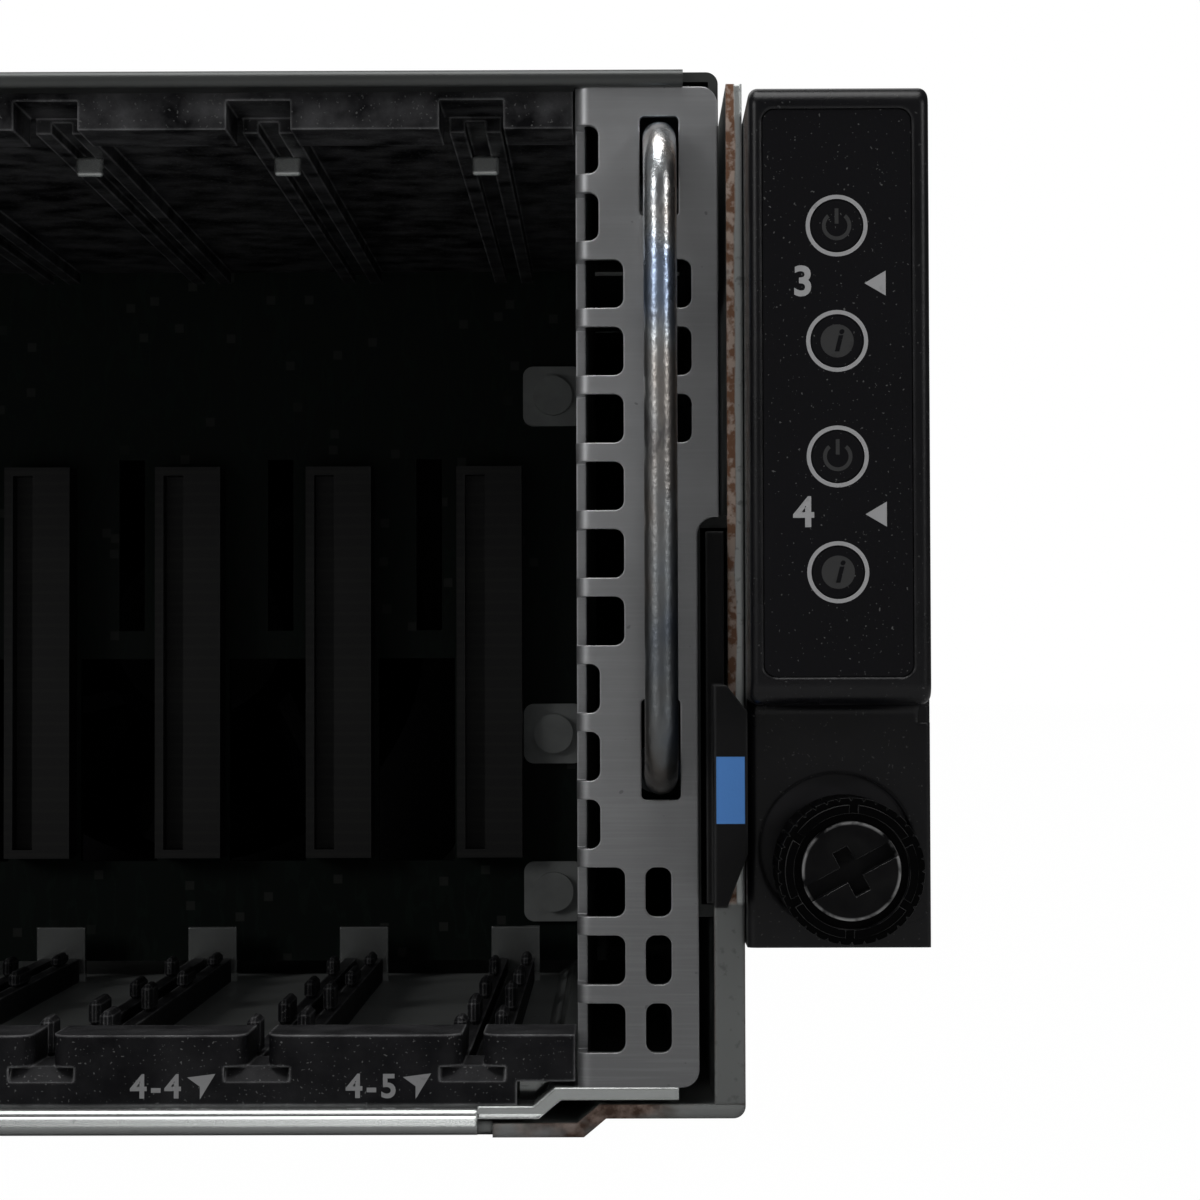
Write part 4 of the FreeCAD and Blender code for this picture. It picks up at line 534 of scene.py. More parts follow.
def plated_wire():
    """Shiny wire with the blue and brown bloom of zinc passivation and fine draw marks."""
    finish = Finish("plated wire")
    marks = finish.noise(420.0, 4.0, (1.0, 1.0, 0.35))
    bloom = finish.noise(130.0, 3.0, (1.0, 1.0, 0.5))
    tone = finish.blend(bloom.above(0.5, 0.12), (0.5, 0.53, 0.55), (0.3, 0.37, 0.5))
    tone = finish.blend(bloom.below(0.4, 0.1) * 0.5, tone, (0.36, 0.27, 0.2))
    tone = finish.blend(marks.above(0.6, 0.06) * 0.5, tone, (0.1, 0.1, 0.11))
    _, _, z = finish.axes()
    # Painted highlight and shade: the upper part is lighter, up to 1.8 of its tone, and the lower part
    # darker, down to 0.4; the upper part is also smoother.
    painted_light_upper = z.above(40.0 * MM, 36.0 * MM)
    tone = finish.blend(painted_light_upper, shade_link(finish, tone, 0.4), shade_link(finish, tone, 1.8))
    sparkle = finish.noise(1900.0, 3.0)
    finish.give(base_color=tone, metallic=0.95, roughness=0.32 - 0.14 * painted_light_upper + 0.16 * marks,
                normal=finish.bump(sparkle, 0.05 * MM, finish.bump(marks, 0.05 * MM)))
    return finish.material


def textured_black(name, dust=0.5, grain_depth=0.03, rough=0.5, rub_and_highlight=None, recess=None, haze=0.03,
                   gloss=0.14, settled=0.0):
    """Black moulding with a fine grain and pale dust.

    Edges can be paler, partly from rub wear and partly as a painted highlight, upper faces can hold
    settled dust, and a round recess can be paler.
    """
    finish = Finish(name)
    base = looks().plastic_colour
    grain = finish.noise(2600.0, 2.0)
    clouds = finish.noise(60.0, 4.0)
    specks = finish.noise(3600.0, 1.0).above(0.74 - 0.04 * dust, 0.02)
    film = finish.noise(240.0, 5.0).above(0.36, 0.3)
    tone = finish.blend(clouds, shade(base, 0.7), shade(base, 1.5))
    tone = finish.blend(film * haze, tone, (0.11, 0.11, 0.115))
    tone = finish.blend(specks * dust, tone, (0.13, 0.13, 0.13))
    if settled:
        rise = finish.node("ShaderNodeSeparateXYZ", None, [finish.facing()], output="Z")
        upward = rise.above(0.6, 0.3)
        tone = finish.blend(upward * (0.4 + 0.6 * film) * settled, tone, (0.13, 0.13, 0.135))
    if recess is not None:
        x, y, z = finish.axes()
        inside = distance(x.math("ABSOLUTE") - recess.x, z - recess.z).below(RECESS_RADIUS, CRISP)
        tone = finish.blend(inside * y.above(RECESS_FACE, 0.1 * MM), tone, (0.035, 0.034, 0.038))
    under = None
    if rub_and_highlight is not None:
        under = finish.soft_edges(0.4 * MM)
        # Painted highlight along the edges, partly real rub wear.
        wear_and_highlight_edges = finish.edges(under).above(0.03, 0.16) * (0.3 + 0.7 * film)
        tone = finish.blend(wear_and_highlight_edges * rub_and_highlight, tone, (0.42, 0.42, 0.43))
    finish.give(base_color=tone, roughness=rough + 0.18 * clouds, specular_ior_level=gloss,
                normal=finish.bump(grain, grain_depth * MM, under))
    return finish.material


def overlay_film():
    """Printed black film with a finer grain than the housing round it."""
    finish = Finish("overlay film")
    base = looks().plastic_colour
    grain = finish.noise(3200.0, 2.0)
    specks = finish.noise(4200.0, 1.0).above(0.725, 0.02)
    tone = finish.blend(finish.noise(80.0), shade(base, 0.9), shade(base, 1.7))
    tone = finish.blend(specks * 0.6, tone, (0.2, 0.2, 0.2))
    finish.give(base_color=tone, roughness=0.46 + 0.1 * grain, specular_ior_level=0.18,
                normal=finish.bump(grain, 0.015 * MM))
    return finish.material


def print_ink(name, tone_factor):
    """Screen-printed grey ink, showing slight wear."""
    finish = Finish(name)
    base = shade(looks().ink_colour, tone_factor)
    wear = finish.noise(900.0, 4.0)
    finish.give(base_color=finish.blend(wear.above(0.62, 0.1) * 0.5, base, shade(base, 0.5)),
                roughness=0.5 + 0.1 * wear)
    return finish.material


def knob_and_screw(side):
    """Gloss black knob round a matt zinc screw, told apart by the distance from the axis."""
    finish = Finish(f"knob and screw {side}")
    axis = face_centre(f"thumbscrew_{side}")
    x, _, z = finish.axes()
    reach = distance(x - axis.x, z - axis.z)
    metal = reach.below(KNOB_BORE, 0.02 * MM)
    rub_and_highlight = metal * reach.above(KNOB_RUB, 0.15 * MM)
    wear = finish.noise(500.0, 4.0)
    base = looks().plastic_colour
    black = finish.blend(wear, shade(base, 0.1), shade(base, 0.25))
    steel = finish.blend(wear, (0.005, 0.005, 0.006), (0.025, 0.025, 0.025))
    # Painted highlight on the screw's rim, partly real rub wear.
    steel = finish.blend(rub_and_highlight * wear.above(0.38, 0.15), steel, (0.4, 0.4, 0.4))
    rounded = finish.soft_edges(0.09 * MM)
    # Painted highlight along the edges of knob and screw, partly real wear.
    wear_and_highlight_edges = finish.edges(rounded).above(0.12, 0.2) * wear.above(0.4, 0.12)
    tone = finish.blend(metal, black, steel)
    tone = finish.blend(wear_and_highlight_edges * (0.4 + 0.4 * metal), tone, (0.42, 0.42, 0.42))
    finish.give(base_color=tone, metallic=metal * 0.8, normal=rounded,
                roughness=0.3 + 0.14 * metal + 0.1 * wear, specular_ior_level=0.06)
    return finish.material


def tag_moulding():
    """Dark grey moulding with a blue label field on the grip's inner face."""
    finish = Finish("tag moulding")
    x, y, z = finish.axes()
    _, grip_front, tag_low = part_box("info_tag")[0]
    field = (z - tag_low).within(*LABEL_HEIGHTS, CRISP) * x.within(*LABEL_SPAN, CRISP)
    field = field * y.below(grip_front + LABEL_DEPTH, CRISP)
    grain = finish.noise(1800.0, 3.0)
    scuff = finish.noise(160.0, 4.0).above(0.55, 0.2)
    grey = finish.blend(scuff, (0.0035, 0.0035, 0.004), (0.01, 0.01, 0.0105))
    rounded = finish.soft_edges(0.35 * MM)
    # Painted highlight: the grey is lighter along the broken edges, partly real rub wear.
    grey = finish.blend(finish.edges(rounded).above(0.04, 0.25) * 0.3, grey, (0.2, 0.2, 0.2))
    finish.give(base_color=finish.blend(field, grey, looks().label_colour), specular_ior_level=0.25,
                roughness=0.55 + 0.1 * scuff, normal=finish.bump(grain, 0.03 * MM, rounded))
    return finish.material


def circuit_board(name, tone_factor=1.0):
    """Solder-masked board with traces and pale component marks."""
    finish = Finish(name)
    base = shade(looks().board_colour, tone_factor)
    bricks = finish.cells(260.0, distance="CHEBYCHEV")
    traces = finish.noise(320.0, 2.0, (1.0, 1.0, 0.3)).within(0.47, 0.52, 0.01)
    tone = finish.blend(traces * 0.5, base, shade(base, 2.2))
    tone = finish.blend(bricks.below(0.12, 0.03) * 0.35, tone, (0.08, 0.08, 0.075))
    finish.give(base_color=tone, roughness=0.5 + 0.1 * traces, specular_ior_level=0.15)
    return finish.material


def socket_black():
    """Black connector bodies with a row of fine contacts."""
    finish = Finish("socket black")
    _, _, z = finish.axes()
    contacts = (z / (1.27 * MM)).math("FRACT").within(0.3, 0.6, 0.1)
    tone = finish.blend(contacts * 0.25, (0.006, 0.006, 0.006), (0.03, 0.028, 0.022))
    finish.give(base_color=tone, roughness=0.45 + 0.1 * finish.noise(200.0))
    return finish.material


def washer_zinc():
    """Dull zinc of the backplane's square washers."""
    finish = Finish("washer zinc")
    base = looks().zinc_colour
    cloud = finish.noise(260.0, 3.0)
    finish.give(base_color=finish.blend(cloud, shade(base, 0.32), shade(base, 0.8)), metallic=0.7,
                roughness=0.5 + 0.15 * cloud)
    return finish.material


def sled_electronics(number):
    """Green board, bare aluminium sinks, memory rows with black chips and nickel port shells."""
    finish = Finish(f"sled electronics {number}")
    _, front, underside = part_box(f"sled_board_{number}")[0]
    x, y, z = finish.axes()
    along, height = y - front, z - underside
    above = height.above(BOARD_TOP, CRISP)
    first, second = (along.within(*span, MM) for span in SINK_SPANS)
    ports = y.above(REAR - PORT_DEPTH, 0.1 * MM)
    metal = above * (first + second + ports).math("MINIMUM", 1.0)
    traces = finish.noise(300.0, 2.0, (1.0, 0.3, 1.0)).within(0.47, 0.52, 0.01)
    specks = finish.cells(210.0, distance="CHEBYCHEV")
    mask = finish.blend(traces, (0.008, 0.05, 0.022), (0.02, 0.09, 0.04))
    mask = finish.blend(specks.below(0.16, 0.03) * 0.8, mask, (0.03, 0.03, 0.03))
    chips = (x / CHIP_PITCH).math("FRACT").within(0.15, 0.85, 0.02)
    chips = chips * height.within(*CHIP_HEIGHTS, 0.2 * MM)
    memory = finish.blend(chips, (0.006, 0.04, 0.018), (0.012, 0.012, 0.012))
    grain = finish.noise(160.0, 3.0, (1.0, 0.1, 1.0))
    bare = finish.blend(grain, (0.42, 0.43, 0.44), (0.6, 0.61, 0.62))
    tone = finish.blend(metal, finish.blend(above, mask, memory), bare)
    finish.give(base_color=tone, metallic=metal * 0.9, roughness=0.5 - 0.15 * metal + 0.1 * grain)
    return finish.material


def supply_case(number):
    """Zinc case with a black handle, a black inlet and a dark grille."""
    finish = Finish(f"supply case {number}")
    base = looks().zinc_colour
    low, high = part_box(f"power_supply_{number}")
    x, y, z = finish.axes()
    handle = y.above(REAR + 0.12 * MM, CRISP)
    mouth = (x - low[0]).within(*INLET_SPAN, CRISP)
    inlet = mouth * y.within(REAR - INLET_DEPTH, REAR - 0.15 * MM, CRISP)
    slits = x.above(GRILLE_START, CRISP) * y.within(REAR - GRILLE_DEPTH, REAR - 0.3 * MM, CRISP)
    inside = z.within(low[2] + CASE_RIM, high[2] - CASE_RIM, CRISP)
    black = (handle + inside * (inlet + slits)).math("MINIMUM", 1.0)
    clouds = finish.noise(26.0, 4.0)
    grain = finish.noise(1600.0, 2.0)
    sheet = finish.blend(clouds, shade(base, 0.75), shade(base, 1.05))
    moulding = finish.blend(grain, (0.008, 0.008, 0.009), (0.02, 0.02, 0.021))
    finish.give(base_color=finish.blend(black, sheet, moulding), metallic=0.9 - 0.9 * black,
                roughness=0.3 + 0.2 * black + 0.1 * clouds, normal=finish.bump(grain * black, 0.03 * MM))
    return finish.material


def release_tab():
    """Blue touch points at the rear."""
    finish = Finish("release tab")
    base = looks().tab_colour
    wear = finish.noise(300.0, 4.0)
    finish.give(base_color=finish.blend(wear, shade(base, 0.8), shade(base, 1.25)),
                roughness=0.4 + 0.15 * wear)
    return finish.material


def plated_rivet():
    """Dull plated steel of small fasteners."""
    finish = Finish("plated rivet")
    cloud = finish.noise(700.0, 3.0)
    finish.give(base_color=finish.blend(cloud, (0.28, 0.29, 0.29), (0.5, 0.51, 0.51)), metallic=0.9,
                roughness=0.3 + 0.15 * cloud)
    return finish.material


def paint(material, *names):
    """Gives CAD nodes a finish."""
    for name in names:
        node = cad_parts[name]
        node.data.materials.clear()
        node.data.materials.append(material)


def both(stem):
    """Names of a node on the left and on the right."""
    return [f"{stem}_{side}" for side in SIDES]


def each(stem, count):
    """Names of numbered nodes."""
    return [f"{stem}_{number}" for number in range(1, count + 1)]


def piece(name, bm, material, body):
    """A new object from a bmesh, riding on a body."""
    mesh = bpy.data.meshes.new(name)
    bm.normal_update()
    bm.to_mesh(mesh)
    bm.free()
    made = bpy.data.objects.new(name, mesh)
    bpy.context.collection.objects.link(made)
    mesh.materials.append(material)
    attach(made, body)


def upright(place):
    """Stands a flat print at a place, facing the front."""
    return Matrix.Translation(place) @ FACING_FRONT


def add_ring(bm, centre, outer, inner, segments=48):
    """A flat printed ring."""
    edges = []
    for radius in (outer, inner):
        rim = bmesh.ops.create_circle(bm, segments=segments, radius=radius)["verts"]
        edges += {edge for vert in rim for edge in vert.link_edges}
    faces = bmesh.ops.bridge_loops(bm, edges=edges)["faces"]
    raise_faces(bm, faces, PRINT_PROUD, upright(centre))


def add_disc(bm, centre, radius):
    """A flat printed disc."""
    verts = bmesh.ops.create_circle(bm, cap_ends=True, segments=32, radius=radius)["verts"]
    faces = list({face for vert in verts for face in vert.link_faces})
    raise_faces(bm, faces, PRINT_PROUD, upright(centre))


def raise_faces(bm, faces, thick, matrix):
    """Turns flat faces into a closed slab and puts it in place."""
    verts = {vert for face in faces for vert in face.verts}
    grown = bmesh.ops.extrude_face_region(bm, geom=faces, use_keep_orig=True)["geom"]
    top = [item for item in grown if isinstance(item, bmesh.types.BMVert)]
    bmesh.ops.translate(bm, verts=top, vec=(0, 0, thick))
    whole = list(verts) + top
    sides = list({face for vert in whole for face in vert.link_faces})
    bmesh.ops.transform(bm, matrix=matrix, verts=whole)
    bmesh.ops.recalc_face_normals(bm, faces=sides)
    for face in sides:
        face.smooth = False


def add_text(bm, words, height, centre, thick=PRINT_PROUD, spread=1.0, slant=0.0):
    """Characters as a thin slab about a centre, spread and slanted if asked for."""
    curve = bpy.data.curves.new("print", "FONT")
    curve.body = words
    curve.align_x = "CENTER"
    curve.align_y = "CENTER"
    curve.size = height / CAPITAL_SHARE
    curve.offset = PRINT_WEIGHT * height
    curve.space_character = spread
    curve.shear = slant
    curve.resolution_u = 4
    holder = bpy.data.objects.new("print", curve)
    flat = bpy.data.meshes.new_from_object(holder)
    bpy.data.objects.remove(holder)
    bpy.data.curves.remove(curve)
    before = set(bm.faces)
    bm.from_mesh(flat)
    bpy.data.meshes.remove(flat)
    faces = [face for face in bm.faces if face not in before]
    bmesh.ops.remove_doubles(bm, verts=list({v for f in faces for v in f.verts}), dist=1e-7)
    faces = [face for face in bm.faces if face not in before]
    raise_faces(bm, faces, thick, upright(centre))


def add_arrow(bm, centre, corners):
    """A flat pointer from its few corners."""
    face = bm.faces.new([bm.verts.new((u, v, 0)) for u, v in corners])
    raise_faces(bm, [face], PRINT_PROUD, upright(centre))


def add_box(bm, middle, size):
    """A plain box about its middle."""
    made = bmesh.ops.create_cube(bm, size=1.0)["verts"]
    shape = Matrix.Translation(middle) @ Matrix.Diagonal((*size, 1.0))
    bmesh.ops.transform(bm, matrix=shape, verts=made)
    return made


def add_block(bm, middle, size, edge):
    """A small block with broken edges."""
    made = add_box(bm, middle, size)
    around = list({e for v in made for e in v.link_edges})
    bmesh.ops.bevel(bm, geom=around, offset=edge, affect="EDGES", segments=1, profile=0.5, material=-1)


def add_rivet(bm, matrix, radius, height):
    """A low rivet head on a surface, its round edge broken."""
    made = bmesh.ops.create_cone(bm, cap_ends=True, segments=20, radius1=radius, radius2=radius * 0.8,
                                 depth=height)["verts"]
    bmesh.ops.translate(bm, verts=made, vec=(0, 0, height / 2))
    top = [e for v in made for e in v.link_edges if all(w.co.z > height * 0.9 for w in e.verts)]
    bmesh.ops.transform(bm, matrix=matrix, verts=made)
    bmesh.ops.bevel(bm, geom=list(set(top)), offset=height * 0.6, affect="EDGES", segments=2, profile=0.5,
                    material=-1)


def slot_middles():
    """Places of the drive slots across the bay."""
    return [(slot - (SLOT_COUNT - 1) / 2) * SLOT_PITCH for slot in range(SLOT_COUNT)]


def face_centre(name):
    """Middle of a node's front face."""
    low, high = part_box(name)
    return Vector(((low[0] + high[0]) / 2, low[1], (low[2] + high[2]) / 2))


class CHASSIS_OT_sheet_metal(bpy.types.Operator):
    """Finish the walls, the pan, the covers, the drive cage's sheet and the wire pulls"""
    bl_idname = "chassis.sheet_metal"
    bl_label = "Sheet metal"

    def execute(self, context):
        paint(wall_zinc(), *both("side_wall"))
        paint(pan_zinc(), "base_pan")
        paint(cover_zinc(), "rear_cover")
        paint(bright_zinc(), "fan_cover", "bay_dividers", "bay_shelves", "fan_tray")
        # Painted shade: the tag channel and both rack flanges take zinc at a tenth of its tone.
        paint(bright_zinc("shaded zinc", 0.1), "tag_channel", *both("rack_flange"))
        paint(roof_zinc(), "cage_roof")
        paint(lip_zinc(), "cage_floor")
        paint(brushed_zinc(), *both("cage_bracket"))
        paint(plated_wire(), *both("wire_handle"))
        return {"FINISHED"}


class CHASSIS_OT_control_housings(bpy.types.Operator):
    """Finish the control housings and join their skirts to the control faces"""
    bl_idname = "chassis.control_housings"
    bl_label = "Control housings"

    def execute(self, context):
        recess = face_centre("thumbscrew_right") + RECESS_SHIFT
        housing = textured_black("housing black", 0.45, 0.008, 0.19, 0.1, recess, gloss=0.4)
        paint(housing, *both("control_housing"))
        low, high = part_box("control_housing_right")
        bm = bmesh.new()
        for sign in SIDES.values():
            middle = (sign * (high[0] - CAP_INSET), low[1] + CAP_BACK, LEDGE - CAP_DROP)
            add_block(bm, middle, CAP_SIZE, CAP_EDGE)
        piece("skirt_caps", bm, housing, "chassis")
        return {"FINISHED"}


class CHASSIS_OT_overlays(bpy.types.Operator):
    """Finish the overlays and buttons and print their rings, signs and numbers"""
    bl_idname = "chassis.overlays"
    bl_label = "Overlays and buttons"

    def execute(self, context):
        film = overlay_film()
        buttons = each("power_button", SLED_COUNT) + each("id_button", SLED_COUNT)
        paint(film, "control_overlays", *buttons)
        paint(circuit_board("button board"), "button_boards")
        ink = print_ink("overlay ink", 1.0)
        dim = print_ink("dim ink", 0.085)
        self.print_rings(buttons, ink)
        for number in range(1, SLED_COUNT + 1):
            self.print_power(number, dim)
            self.print_sign(number, dim, film)
            self.print_number(number, ink)
        return {"FINISHED"}

    def print_rings(self, buttons, ink):
        """A ring on the overlay round every button."""
        outer = looks().ring_radius
        bm = bmesh.new()
        for name in buttons:
            centre = face_centre(name)
            centre.y = OVERLAY_FACE + PRINT_PROUD / 2
            add_ring(bm, centre, outer, outer - looks().ring_width)
        piece("printed_rings", bm, ink, "chassis")

    def print_power(self, number, ink):
        """A broken ring with an upright bar, dim on the cap."""
        name = f"power_button_{number}"
        centre = face_centre(name)
        centre.y += PRINT_PROUD / 2
        bm = bmesh.new()
        add_ring(bm, centre, POWER_OUTER, POWER_INNER, 36)
        gap = [f for f in bm.faces if f.calc_center_median().z > centre.z + POWER_GAP]
        bmesh.ops.delete(bm, geom=gap, context="FACES")
        bmesh.ops.holes_fill(bm, edges=[e for e in bm.edges if e.is_boundary], sides=4)
        add_box(bm, centre + Vector((0, -PRINT_PROUD / 2, POWER_GAP)), POWER_BAR)
        bmesh.ops.recalc_face_normals(bm, faces=bm.faces[:])
        piece(f"power_sign_{number}", bm, ink, name)

    def print_sign(self, number, ink, film):
        """A dim disc with a dark letter-like sign standing on it."""
        name = f"id_button_{number}"
        centre = face_centre(name)
        centre.y += PRINT_PROUD / 2
        bm = bmesh.new()
        add_disc(bm, centre, SIGN_DISC)
        piece(f"id_disc_{number}", bm, ink, name)
        bm = bmesh.new()
        centre.y -= PRINT_PROUD
        add_text(bm, "i", SIGN_HEIGHT, centre, PRINT_PROUD / 2, slant=SIGN_SLANT)
        piece(f"id_sign_{number}", bm, film, name)

    def print_number(self, number, ink):
        """The sled's number, with a pointer towards its pair of buttons."""
        upper = face_centre(f"power_button_{number}")
        lower = face_centre(f"id_button_{number}")
        middle = (upper + lower) / 2
        middle.y = OVERLAY_FACE + PRINT_PROUD / 2
        bm = bmesh.new()
        add_text(bm, str(number), looks().digit_height, middle + DIGIT_SHIFT)
        back, half = POINTER_TIP * 0.95, POINTER_TIP * 1.15
        add_arrow(bm, middle + POINTER_SHIFT, [(-POINTER_TIP, 0), (back, -half), (back, half)])
        piece(f"sled_number_{number}", bm, ink, "chassis")


class CHASSIS_OT_thumbscrews(bpy.types.Operator):
    """Finish the thumbscrews and the tag"""
    bl_idname = "chassis.thumbscrews"
    bl_label = "Thumbscrews and tag"

    def execute(self, context):
        for side in SIDES:
            paint(knob_and_screw(side), f"thumbscrew_{side}")
        paint(tag_moulding(), "info_tag")
        return {"FINISHED"}


class CHASSIS_OT_drive_cage(bpy.types.Operator):
    """Finish the drive cage's inside and print the slot marks"""
    bl_idname = "chassis.drive_cage"
    bl_label = "Drive cage"

    def execute(self, context):
        guide = textured_black("guide black", 1.3, 0.05, 0.45, 1.0, haze=0.13, settled=0.35)
        paint(guide, "slot_guide_bottom")
        paint(textured_black("upper guide black", 1.3, 0.05, 0.45, 0.9, haze=0.8), "slot_guide_top")
        self.rail_fingers(guide)
        # Painted highlight: the tabs take the brighter lip zinc to stand for the lamplight they catch.
        self.roof_tabs(lip_zinc("tab zinc"))
        paint(circuit_board("backplane", 0.7), "backplane_board")
        paint(washer_zinc(), "backplane_screws")
        paint(socket_black(), "backplane_sockets")
        self.print_slot_marks()
        return {"FINISHED"}

    def rail_fingers(self, material):
        """Sprung fingers along both walls of each lower rail, taller towards the front."""
        _, front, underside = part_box("slot_guide_bottom")[0]
        bm = bmesh.new()
        for slot in slot_middles():
            for number in range(FINGER_COUNT):
                along = number / FINGER_COUNT
                side = 1 if number % 2 else -1
                tall = (2.8 - 1.7 * along + 0.5 * (number % 3 == 0)) * MM
                deep = (4.0 + 1.5 * (number % 3)) * MM
                start = front + FINGER_START + along * FINGER_RUN
                middle = (slot + side * RAIL_WALL, start + deep / 2, underside + RAIL_TOP + tall / 2)
                add_block(bm, middle, (FINGER_WIDE, deep, tall), FINGER_EDGE)
        piece("rail_fingers", bm, material, "drive_cage")

    def roof_tabs(self, material):
        """Small bent tabs that hold the upper guide, seen through its gaps."""
        low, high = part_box("slot_guide_top")
        bm = bmesh.new()
        for slot in slot_middles():
            middle = (slot + TAB_SHIFT, low[1] + TAB_BACK, high[2] - TAB_DROP)
            add_block(bm, middle, TAB_SIZE, TAB_EDGE)
        piece("roof_tabs", bm, material, "drive_cage")

    def print_slot_marks(self):
        """Group and slot numbers below each gap, each with a pointer up to its slot."""
        group = SLOT_COUNT // SLOT_GROUPS
        _, front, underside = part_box("slot_guide_bottom")[0]
        front, height = front + PRINT_PROUD / 2, underside + MARK_RISE
        outline = ((1.0, 0.8), (-1.0, 0.55), (-0.1, -0.1), (-0.1, -1.0))
        corners = [(u * ARROW_TIP, v * ARROW_TIP) for u, v in outline]
        bm = bmesh.new()
        for slot, gap in enumerate(slot_middles()):
            words = f"{slot // group + 1}-{slot % group}"
            place = (gap - MARK_SHIFT, front, height)
            add_text(bm, words, looks().mark_height, place, spread=MARK_SPREAD)
            add_arrow(bm, (gap - ARROW_SHIFT, front, height + ARROW_RISE), corners)
        piece("slot_marks", bm, print_ink("guide ink", 0.6), "drive_cage")


class CHASSIS_OT_fans_and_boards(bpy.types.Operator):
    """Finish the fans and the boards behind the drive cage"""
    bl_idname = "chassis.fans_and_boards"
    bl_label = "Fans and boards"

    def execute(self, context):
        paint(textured_black("fan black", 0.2), "fan_frames", *each("fan_rotor", FAN_COUNT))
        paint(circuit_board("midplane green", 2.5), "midplane_board", "power_board")
        return {"FINISHED"}


class CHASSIS_OT_sleds_and_supplies(bpy.types.Operator):
    """Finish the node sleds, the power supplies and their levers and latches"""
    bl_idname = "chassis.sleds_and_supplies"
    bl_label = "Sleds and supplies"

    def execute(self, context):
        paint(bright_zinc("sled zinc"), *each("sled_tray", SLED_COUNT))
        for number in range(1, SLED_COUNT + 1):
            paint(sled_electronics(number), f"sled_board_{number}")
        for number in range(1, SUPPLY_COUNT + 1):
            paint(supply_case(number), f"power_supply_{number}")
        levers = each("sled_lever", SLED_COUNT)
        paint(release_tab(), *levers, *each("supply_latch", SUPPLY_COUNT))
        return {"FINISHED"}


class CHASSIS_OT_wall_rivets(bpy.types.Operator):
    """Add the low rivets that hold the shelves and the floor to both side walls"""
    bl_idname = "chassis.wall_rivets"
    bl_label = "Wall rivets"

    def execute(self, context):
        bm = bmesh.new()
        for sign in SIDES.values():
            turn = Matrix.Rotation(math.radians(90) * sign, 4, "Y")
            for step in range(RIVET_COUNT):
                along = FRONT + RIVET_FIRST + step * RIVET_PITCH
                for height in RIVET_HEIGHTS:
                    place = Matrix.Translation((WALL_FACE * sign, along, height)) @ turn
                    add_rivet(bm, place, RIVET_RADIUS, RIVET_PROUD)
        piece("wall_rivets", bm, plated_rivet(), "chassis")
        return {"FINISHED"}


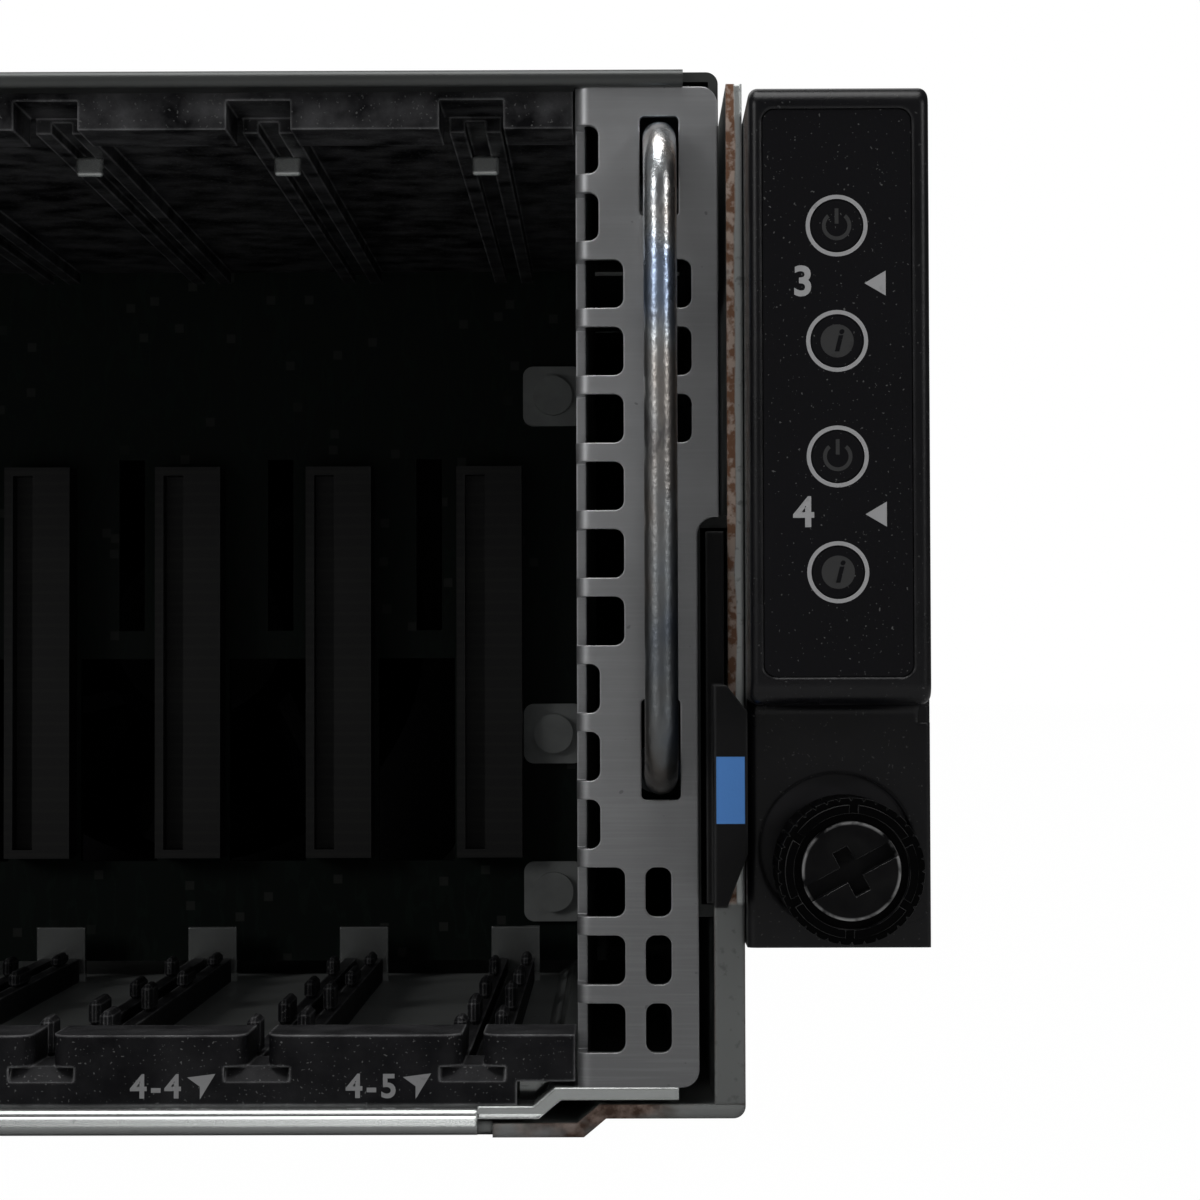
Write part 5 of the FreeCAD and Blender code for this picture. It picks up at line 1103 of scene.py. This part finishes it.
class CHASSIS_OT_stage(bpy.types.Operator):
    """Set up the floor, the soft light and the photograph's camera"""
    bl_idname = "chassis.stage"
    bl_label = "Stage"

    def execute(self, context):
        self.floor()
        self.light("top softbox", (0.1, -0.55, 0.85), (0.2, -0.36, 0.04), size=0.6, watts=3.6)
        self.light("front lamp", (0.24, -0.68, 0.06), SUBJECT, size=0.05, watts=0.0015)
        self.light("front left softbox", (-0.5, -1.1, 0.36), SUBJECT, size=0.3, watts=1.3)
        self.light("front right softbox", (0.95, -1.1, 0.36), SUBJECT, size=0.3, watts=1.3)
        self.light("rear softbox", (-0.3, 1.3, 1.2), (0.0, 0.3, 0.04), size=1.8, watts=9.0)
        context.scene.view_settings.view_transform = "Standard"
        self.sky(context.scene)
        self.camera(context.scene)
        return {"FINISHED"}

    def floor(self):
        """A pale floor that is nearly white to the camera and grey as a reflector."""
        bm = bmesh.new()
        bmesh.ops.create_grid(bm, x_segments=1, y_segments=1, size=FLOOR_HALF)
        mesh = bpy.data.meshes.new("floor")
        bm.to_mesh(mesh)
        bm.free()
        floor = bpy.data.objects.new("floor", mesh)
        floor.location.z = -FLOOR_DROP
        bpy.context.collection.objects.link(floor)
        finish = Finish("pale floor")
        finish.give(base_color=finish.blend(finish.noise(2.0), (0.5, 0.5, 0.5), (0.54, 0.54, 0.54)),
                    roughness=0.7)
        seen = finish.node("ShaderNodeLightPath", output="Is Camera Ray")
        glow = finish.node("ShaderNodeEmission", None, {"Color": WHITE})
        plain = Value(finish, finish.shader.outputs[0])
        lit = finish.node("ShaderNodeMixShader", None, [seen * FLOOR_GLOW, plain, glow])
        finish.feed(finish.tree.nodes["Material Output"].inputs["Surface"], lit)
        mesh.materials.append(finish.material)

    def light(self, name, place, target, size, watts):
        """A square lamp at a place, aimed at a target."""
        lamp = bpy.data.lights.new(name, "AREA")
        lamp.size = size
        lamp.energy = watts
        holder = bpy.data.objects.new(name, lamp)
        holder.location = place
        aim = Vector(target) - Vector(place)
        holder.rotation_euler = aim.to_track_quat("-Z", "Y").to_euler()
        bpy.context.collection.objects.link(holder)

    def sky(self, scene):
        """White to the eye, dimmer as a light."""
        world = bpy.data.worlds.new("studio")
        world.use_nodes = True
        nodes, links = world.node_tree.nodes, world.node_tree.links
        seen, light = nodes["Background"], nodes.new("ShaderNodeBackground")
        seen.inputs["Color"].default_value = WHITE
        light.inputs["Color"].default_value = WHITE
        light.inputs["Strength"].default_value = SKY_LIGHT
        mix, path = nodes.new("ShaderNodeMixShader"), nodes.new("ShaderNodeLightPath")
        links.new(path.outputs["Is Camera Ray"], mix.inputs["Fac"])
        links.new(light.outputs["Background"], mix.inputs[1])
        links.new(seen.outputs["Background"], mix.inputs[2])
        links.new(mix.outputs["Shader"], nodes["World Output"].inputs["Surface"])
        scene.world = world

    def camera(self, scene):
        """The camera of the photograph's view."""
        view = scene.photo_view
        lens = bpy.data.cameras.new("photo camera")
        lens.sensor_width = SENSOR
        lens.lens = view.lens
        lens.clip_start = 0.01
        holder = bpy.data.objects.new("photo camera", lens)
        place = Matrix.Translation((view.place_x, FRONT - view.distance, view.height))
        tilt = Matrix.Rotation(math.radians(90) + view.pitch, 4, "X")
        turn, roll = (Matrix.Rotation(angle, 4, "Z") for angle in (view.yaw, view.roll))
        holder.matrix_world = place @ turn @ tilt @ roll
        bpy.context.collection.objects.link(holder)
        scene.camera = holder


class CHASSIS_PT_looks(bpy.types.Panel):
    """Lists the steps that dress the chassis"""
    bl_idname = "CHASSIS_PT_looks"
    bl_label = "Chassis"
    bl_space_type = "VIEW_3D"
    bl_region_type = "UI"
    bl_category = "Chassis"

    def draw(self, context):
        for step in STEPS:
            self.layout.operator(step.bl_idname)
        for group in (context.scene.chassis_looks, context.scene.photo_view):
            for name in group.__annotations__:
                self.layout.prop(group, name)


STEPS = (
    CHASSIS_OT_sheet_metal,
    CHASSIS_OT_control_housings,
    CHASSIS_OT_overlays,
    CHASSIS_OT_thumbscrews,
    CHASSIS_OT_drive_cage,
    CHASSIS_OT_fans_and_boards,
    CHASSIS_OT_sleds_and_supplies,
    CHASSIS_OT_wall_rivets,
    CHASSIS_OT_stage,
)
CLASSES = (ChassisLooks, PhotoView, *STEPS, CHASSIS_PT_looks)


def register():
    """Makes the settings and steps known to Blender."""
    for cls in CLASSES:
        bpy.utils.register_class(cls)
    bpy.types.Scene.chassis_looks = bpy.props.PointerProperty(type=ChassisLooks)
    bpy.types.Scene.photo_view = bpy.props.PointerProperty(type=PhotoView)


def unregister():
    """Takes the settings and steps away again."""
    del bpy.types.Scene.photo_view
    del bpy.types.Scene.chassis_looks
    for cls in reversed(CLASSES):
        bpy.utils.unregister_class(cls)


def main():
    """Dresses the chassis step by step."""
    register()
    bpy.ops.chassis.sheet_metal()
    bpy.ops.chassis.control_housings()
    bpy.ops.chassis.overlays()
    bpy.ops.chassis.thumbscrews()
    bpy.ops.chassis.drive_cage()
    bpy.ops.chassis.fans_and_boards()
    bpy.ops.chassis.sleds_and_supplies()
    bpy.ops.chassis.wall_rivets()
    bpy.ops.chassis.stage()


if __name__ == "__main__":
    main()
